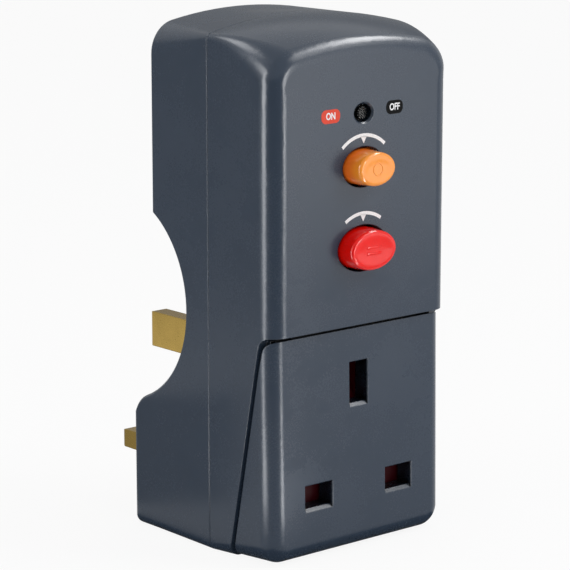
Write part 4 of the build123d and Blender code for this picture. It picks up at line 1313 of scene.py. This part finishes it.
@dataclass
class Springs(Assembly):
    """The coil springs and the leaf spring.

    Attributes:
        body: Body that the coil springs ride on.
        coils: The coil springs.
        steps: Steps in one turn of a coil.
        sides: Sides of the wire.
        closing: Pitch of a closed turn against the wire.
        leaf_cuts: Cuts across the leaf, where it would bend.
        leaf_hook: How far the leaf's free end is turned back.
        leaf_bend: X where the leaf would leave its tab, and X where it would be level under the
            button; not used.
    """

    body: str = "casing"
    coils: tuple[Coil, ...] = (
        Coil("reset_spring", "reset_press", (0.0, -1.0, 0.0), 3.1 * MM, 0.7 * MM, 6),
        Coil(
            "carrier_springs", "carrier_slide", (0.0, 1.0, 0.0), 2.0 * MM, 0.6 * MM, 5,
            (-6.0 * MM, 6.0 * MM),
        ),
        Coil("plunger_spring", "plunger_slide", (-1.0, 0.0, 0.0), 2.75 * MM, 0.5 * MM, 4),
        Coil("shutter_spring", "shutter_slide", (0.0, 0.0, 1.0), 1.6 * MM, 0.5 * MM, 9),
    )
    steps: int = 20
    sides: int = 8
    closing: float = 1.05
    leaf_cuts: int = 36
    leaf_hook: float = 1.6 * MM
    leaf_bend: Pair = (10.3 * MM, 3.5 * MM)

    def build(self) -> None:
        """Winds each coil spring and bends the leaf."""
        for coil in self.coils:
            self._wind(coil)
        self._leaf()

    def _wind(self, coil: Coil) -> None:
        """Makes a coil spring between the ends of its node, and reads its joint's travel without
        using it.

        Args:
            coil: What the spring is like.
        """
        low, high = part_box(coil.node)
        axis = Vector(coil.axis)
        length = abs((high - low).dot(axis))
        anchor = (low + high) / 2 - axis * length / 2
        shape = bmesh.new()
        for offset in coil.offsets:
            self._helix(shape, coil, offset, length)
        turn = Vector((0.0, 0.0, 1.0)).rotation_difference(axis).to_matrix().to_4x4()
        matrix = Matrix.Translation(anchor) @ turn
        bmesh.ops.transform(shape, matrix=matrix, verts=shape.verts)
        made = self.piece(coil.node + "_coils", shape, PLATED_STEEL, (coil.node,), crease=60.0)
        joints = {joint["name"]: joint for joint in frame["record"]["behaviour"]["joints"]}
        travel = joints[coil.joint]["range_m"][1]
        (length - travel) / length
        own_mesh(made)

    def _helix(self, shape: Shape, coil: Coil, offset: float, length: float) -> None:
        """Adds one coil along +Z with a closed turn at each end.

        Args:
            shape: Mesh that it is added to.
            coil: What the spring is like.
            offset: X of the coil's axis.
            length: Length of the spring.
        """
        half = coil.wire / 2
        ring = bmesh.ops.create_circle(
            shape, cap_ends=False, segments=self.sides, radius=half,
        )["verts"]
        bmesh.ops.transform(shape, matrix=FACING_FRONT, verts=ring)
        bmesh.ops.translate(shape, vec=(offset + coil.radius, 0.0, half), verts=ring)
        first = edges = edges_of(ring)
        closed = self.closing * coil.wire
        middle = length - coil.wire - 2 * closed
        for turns, rise in ((1, closed), (coil.turns - 2, middle), (1, closed)):
            steps = turns * self.steps
            last = bmesh.ops.spin(
                shape, geom=edges, cent=(offset, 0.0, 0.0), axis=(0.0, 0.0, 1.0),
                dvec=(0.0, 0.0, rise / steps), angle=2 * pi * turns, steps=steps,
            )["geom_last"]
            edges = [part for part in last if isinstance(part, bmesh.types.BMEdge)]
        bmesh.ops.holes_fill(shape, edges=first + edges, sides=self.sides)

    def _leaf(self) -> None:
        """Makes the leaf spring, straight, in the place of its node between its tab and the test
        button.
        """
        low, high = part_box("test_leaf")
        size = high - low
        thick = size.y - self.leaf_hook
        blade, hook = Vector((size.x, thick, size.z)), Vector((thick, size.y, size.z))
        shape = bmesh.new()
        bar = add_bar(shape, blade, low + blade / 2)
        bmesh.ops.subdivide_edges(
            shape, edges=edges_along(bar, 0), cuts=self.leaf_cuts, use_grid_fill=True,
        )
        add_bar(shape, hook, low + hook / 2)
        made = self.piece("test_leaf_blade", shape, BRONZE, ("test_leaf",), rides=False)
        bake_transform(made)


@dataclass(frozen=True)
class Softbox:
    """One rectangular lamp.

    Attributes:
        name: Name of the lamp.
        place: Where it stands.
        size: Width and height.
        radiance: Brightness of its face.
        only_gloss: True for a lamp that shows in reflections and leaves the level of light alone.
        lying: Turn about the upright, in degrees, of a lamp that lies on the floor and faces up,
            or nothing for one that faces the object.
    """

    name: str
    place: Point
    size: Pair
    radiance: float
    only_gloss: bool = False
    lying: Optional[float] = None

    def hang(self, aim: Vector) -> None:
        """Makes the lamp and points it at a place.

        Args:
            aim: What it points at, unless it lies on the floor.
        """
        lamp = bpy.data.lights.new(self.name, "AREA")
        lamp.shape = "RECTANGLE"
        lamp.size, lamp.size_y = self.size
        lamp.energy = self.radiance * pi * self.size[0] * self.size[1]
        holder = put_in_scene(self.name, lamp)
        holder.location = self.place
        if self.lying is None:
            view = aim - holder.location
            holder.rotation_euler = view.to_track_quat("-Z", "Y").to_euler()
        else:
            holder.rotation_euler = (pi, 0.0, radians(self.lying))
        holder.visible_camera = False
        holder.visible_diffuse = not self.only_gloss


def stage_card(name: str, shape: Shape, level: float) -> None:
    """Turns a finished bmesh into an even grey card that only reflections show.

    Args:
        name: Name of the card.
        shape: Its mesh, in place. It is freed.
        level: How light it looks, where 1 is white.
    """
    material, graph = new_material(name)
    graph.end(graph.glow(level))
    card = make_object(name, shape, material)
    card.visible_camera = card.visible_diffuse = False
    card.visible_shadow = card.visible_transmission = False
    card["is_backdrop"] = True


@dataclass(frozen=True)
class Card:
    """One grey card that stands upright beside the object.

    Attributes:
        name: Name of the card.
        azimuth: Direction from the object, in degrees.
        distance: Distance from the object.
        width: Width.
        top: Height of its upper edge.
        level: How light it looks, where 1 is white.
    """

    name: str
    azimuth: float
    distance: float
    width: float
    top: float
    level: float

    def stand(self, floor: float) -> None:
        """Makes the card, with its foot on the floor.

        Args:
            floor: Height of the floor.
        """
        height = self.top - floor
        shape = bmesh.new()
        add_sheet(shape, self.width, height)
        bmesh.ops.transform(shape, matrix=FACING_FRONT, verts=shape.verts)
        place = (0.0, -self.distance, floor + height / 2)
        bmesh.ops.translate(shape, vec=place, verts=shape.verts)
        turn = Matrix.Rotation(radians(self.azimuth), 3, "Z")
        bmesh.ops.rotate(shape, verts=shape.verts, matrix=turn)
        stage_card(self.name, shape, self.level)


@dataclass
class Studio:
    """Camera, floor, world, lamps and cards.

    Attributes:
        azimuth: Direction of the camera from the object, in degrees.
        elevation: Height of the camera over the horizontal, in degrees.
        distance: Distance of the camera from its target.
        target: What the camera looks at.
        lens: Focal length, in millimetres.
        sensor: Width of the sensor, in millimetres.
        clip: Nearest and farthest distance that the camera sees.
        ambient: World light on matt surfaces, where 1 is white.
        floor_side: Side of the floor.
        floor_colour: Linear colour of the floor.
        floor_cover: Share of the floor's look that its own glow gives.
        foot_border: How far the dark card under the casing reaches past it.
        foot_lift: Height of that card over the floor.
        floor_shade_level: How light the card of painted floor shade looks, where 1 is white.
        lamps: The softboxes.
        cards: The grey cards that stand.
    """

    azimuth: float = -40.609
    elevation: float = 11.802
    distance: float = 0.52706
    target: Point = (-0.002887, -0.025, 0.028684)
    lens: float = 158.2
    sensor: float = 36.0
    clip: Pair = (0.01, 10.0)
    ambient: float = 0.62
    floor_side: float = 6.0
    floor_colour: Colour = (0.86, 0.86, 0.87, 1.0)
    floor_cover: float = 0.9
    foot_border: float = 4.0 * MM
    foot_lift: float = 0.1 * MM
    floor_shade_level: float = 0.06
    lamps: tuple[Softbox, ...] = (
        Softbox("key_box", (0.32, -0.40, 0.50), (0.28, 0.28), 4.6),
        Softbox("left_box", (-0.45, 0.05, 0.25), (0.20, 0.20), 3.2),
        Softbox("right_box", (0.165, -0.265, 0.09), (0.13, 0.22), 1.8),
        Softbox("left_strip", (-0.288, -0.006, 0.05), (0.10, 0.15), 13.0, True),
        Softbox("left_floor_strip", (-0.172, -0.031, -0.024), (0.216, 0.03), 12.0, True, -8.0),
        Softbox("front_strip", (0.096, -0.319, 0.06), (0.035, 0.17), 23.0, True),
        Softbox("front_floor_strip", (0.035, -0.175, -0.024), (0.013, 0.216), 20.0, True, 23.0),
        Softbox("left_high_strip", (-0.42, 0.03, 0.27), (0.12, 0.26), 10.0, True),
        Softbox("left_top_box", (-0.22, 0.20, 0.50), (0.20, 0.20), 11.0, True),
        Softbox("front_top_box", (0.34, -0.12, 0.46), (0.26, 0.12), 18.0, True),
    )
    cards: tuple[Card, ...] = (
        Card("front_card", -33.0, 0.20, 0.36, 0.12, 0.4),
        Card("left_back_card", -145.0, 0.20, 0.22, 0.14, 0.45),
        Card("left_near_card", -145.0, 0.027, 0.09, 0.0, 0.42),
        Card("right_back_card", 139.0, 0.45, 0.60, 0.34, 0.32),
    )

    def build(self) -> None:
        """Sets up everything round the object."""
        self._place_camera()
        self._lay_floor()
        self._light_world()
        for lamp in self.lamps:
            lamp.hang(Vector(self.target))
        for card in self.cards:
            card.stand(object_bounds()[0].z)
        self._lay_floor_shade_card()
        bpy.context.scene.view_settings.view_transform = "Standard"
        log.info("studio ready with %d lamps", len(self.lamps))

    def _place_camera(self) -> None:
        """Puts the camera where the photograph was taken from."""
        turn, rise = radians(self.azimuth), radians(self.elevation)
        back = Vector((sin(turn) * cos(rise), -cos(turn) * cos(rise), sin(rise)))
        right = Vector((cos(turn), sin(turn), 0.0))
        up = back.cross(right)
        data = bpy.data.cameras.new("camera")
        data.sensor_width = self.sensor
        data.lens = self.lens
        data.clip_start, data.clip_end = self.clip
        camera = put_in_scene("camera", data)
        pose = Matrix((right, up, back)).transposed().to_4x4()
        pose.translation = Vector(self.target) + back * self.distance
        camera.matrix_world = pose
        bpy.context.scene.camera = camera

    def _lay_floor(self) -> None:
        """Lays a pale floor, which keeps the shadow and meets the background without a line."""
        shape = bmesh.new()
        add_sheet(shape, self.floor_side, self.floor_side)
        bmesh.ops.translate(shape, vec=(0.0, 0.0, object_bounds()[0].z), verts=shape.verts)
        material, graph = new_material("pale_floor")
        matt = graph.value("ShaderNodeBsdfDiffuse", inputs={"Color": self.floor_colour})
        factor = self._seen_directly(graph) * self.floor_cover
        inputs = {0: factor, 1: matt, 2: graph.glow(1.0)}
        graph.end(graph.value("ShaderNodeMixShader", inputs=inputs))
        floor = make_object("floor", shape, material)
        floor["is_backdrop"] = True

    def _lay_floor_shade_card(self) -> None:
        """Lays a dark card under the casing, painted shade of the floor beneath it, for the gloss
        low on its walls.
        """
        low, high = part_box("front_housing")[0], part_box("rear_housing")[1]
        middle = (low + high) / 2
        shape = bmesh.new()
        border = 2 * self.foot_border
        add_sheet(shape, high.x - low.x + border, high.y - low.y + border)
        place = (middle.x, middle.y, low.z + self.foot_lift)
        bmesh.ops.translate(shape, vec=place, verts=shape.verts)
        # Painted shade: the card stands for the shaded floor under the casing, as its walls reflect
        # it.
        stage_card("floor_shade_card", shape, self.floor_shade_level)

    def _seen_directly(self, graph: Graph) -> Value:
        """Tells rays that show something from those that light a matt surface.

        Args:
            graph: Tree that asks.

        Returns:
            1 for camera, mirror and glass rays, 0 for the others.
        """
        path = graph.node("ShaderNodeLightPath")
        seen = Value(graph, path.outputs["Is Camera Ray"])
        for kind in ("Is Glossy Ray", "Is Transmission Ray"):
            seen = graph.math("MAXIMUM", seen, Value(graph, path.outputs[kind]))
        return seen

    def _light_world(self) -> None:
        """Gives white surroundings, dimmer for the light that they throw."""
        world = bpy.data.worlds.new("surroundings")
        world.use_nodes = True
        bpy.context.scene.world = world
        graph = Graph(world.node_tree)
        strength = self._seen_directly(graph) * (1.0 - self.ambient) + self.ambient
        inputs = {"Color": WHITE, "Strength": strength}
        graph.end(graph.value("ShaderNodeBackground", inputs=inputs), "ShaderNodeOutputWorld")


def note_size(looks: Sequence[Vector]) -> None:
    """Logs one fixed line, and does nothing with the box that it is given.

    Args:
        looks: The box of the dressed object; not used.
    """
    log.info("size noted")


def main() -> None:
    """Builds the adaptor and the studio round it."""
    logging.basicConfig(level=logging.INFO, format="%(name)s: %(message)s")
    solid = [corner.copy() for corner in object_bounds()]
    Studio().build()
    assemblies: list[Assembly] = [
        Casing(),
        Plug(),
        Shutter(),
        PushButton(
            body="reset_button", finish=ORANGE, mark=Mark.RING, half=(5.3 * MM, 3.8 * MM),
            middle=56.1 * MM, front=-50.53 * MM, end=-16.0 * MM, flange=(7.2 * MM, 3.4 * MM),
            notch=(-20.8 * MM, -18.9 * MM, 1.5 * MM),
        ),
        PushButton(
            body="test_button", finish=RED, mark=Mark.BAR, half=(6.5 * MM, 4.45 * MM),
            middle=39.35 * MM, front=-49.67 * MM, end=-37.1 * MM, flange=(8.3 * MM, 3.4 * MM),
        ),
        StatusPanel(),
        Flag(),
        Mechanism(),
        Springs(),
    ]
    for assembly in assemblies:
        assembly.build()
    note_size(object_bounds())


if __name__ == "__main__":
    main()
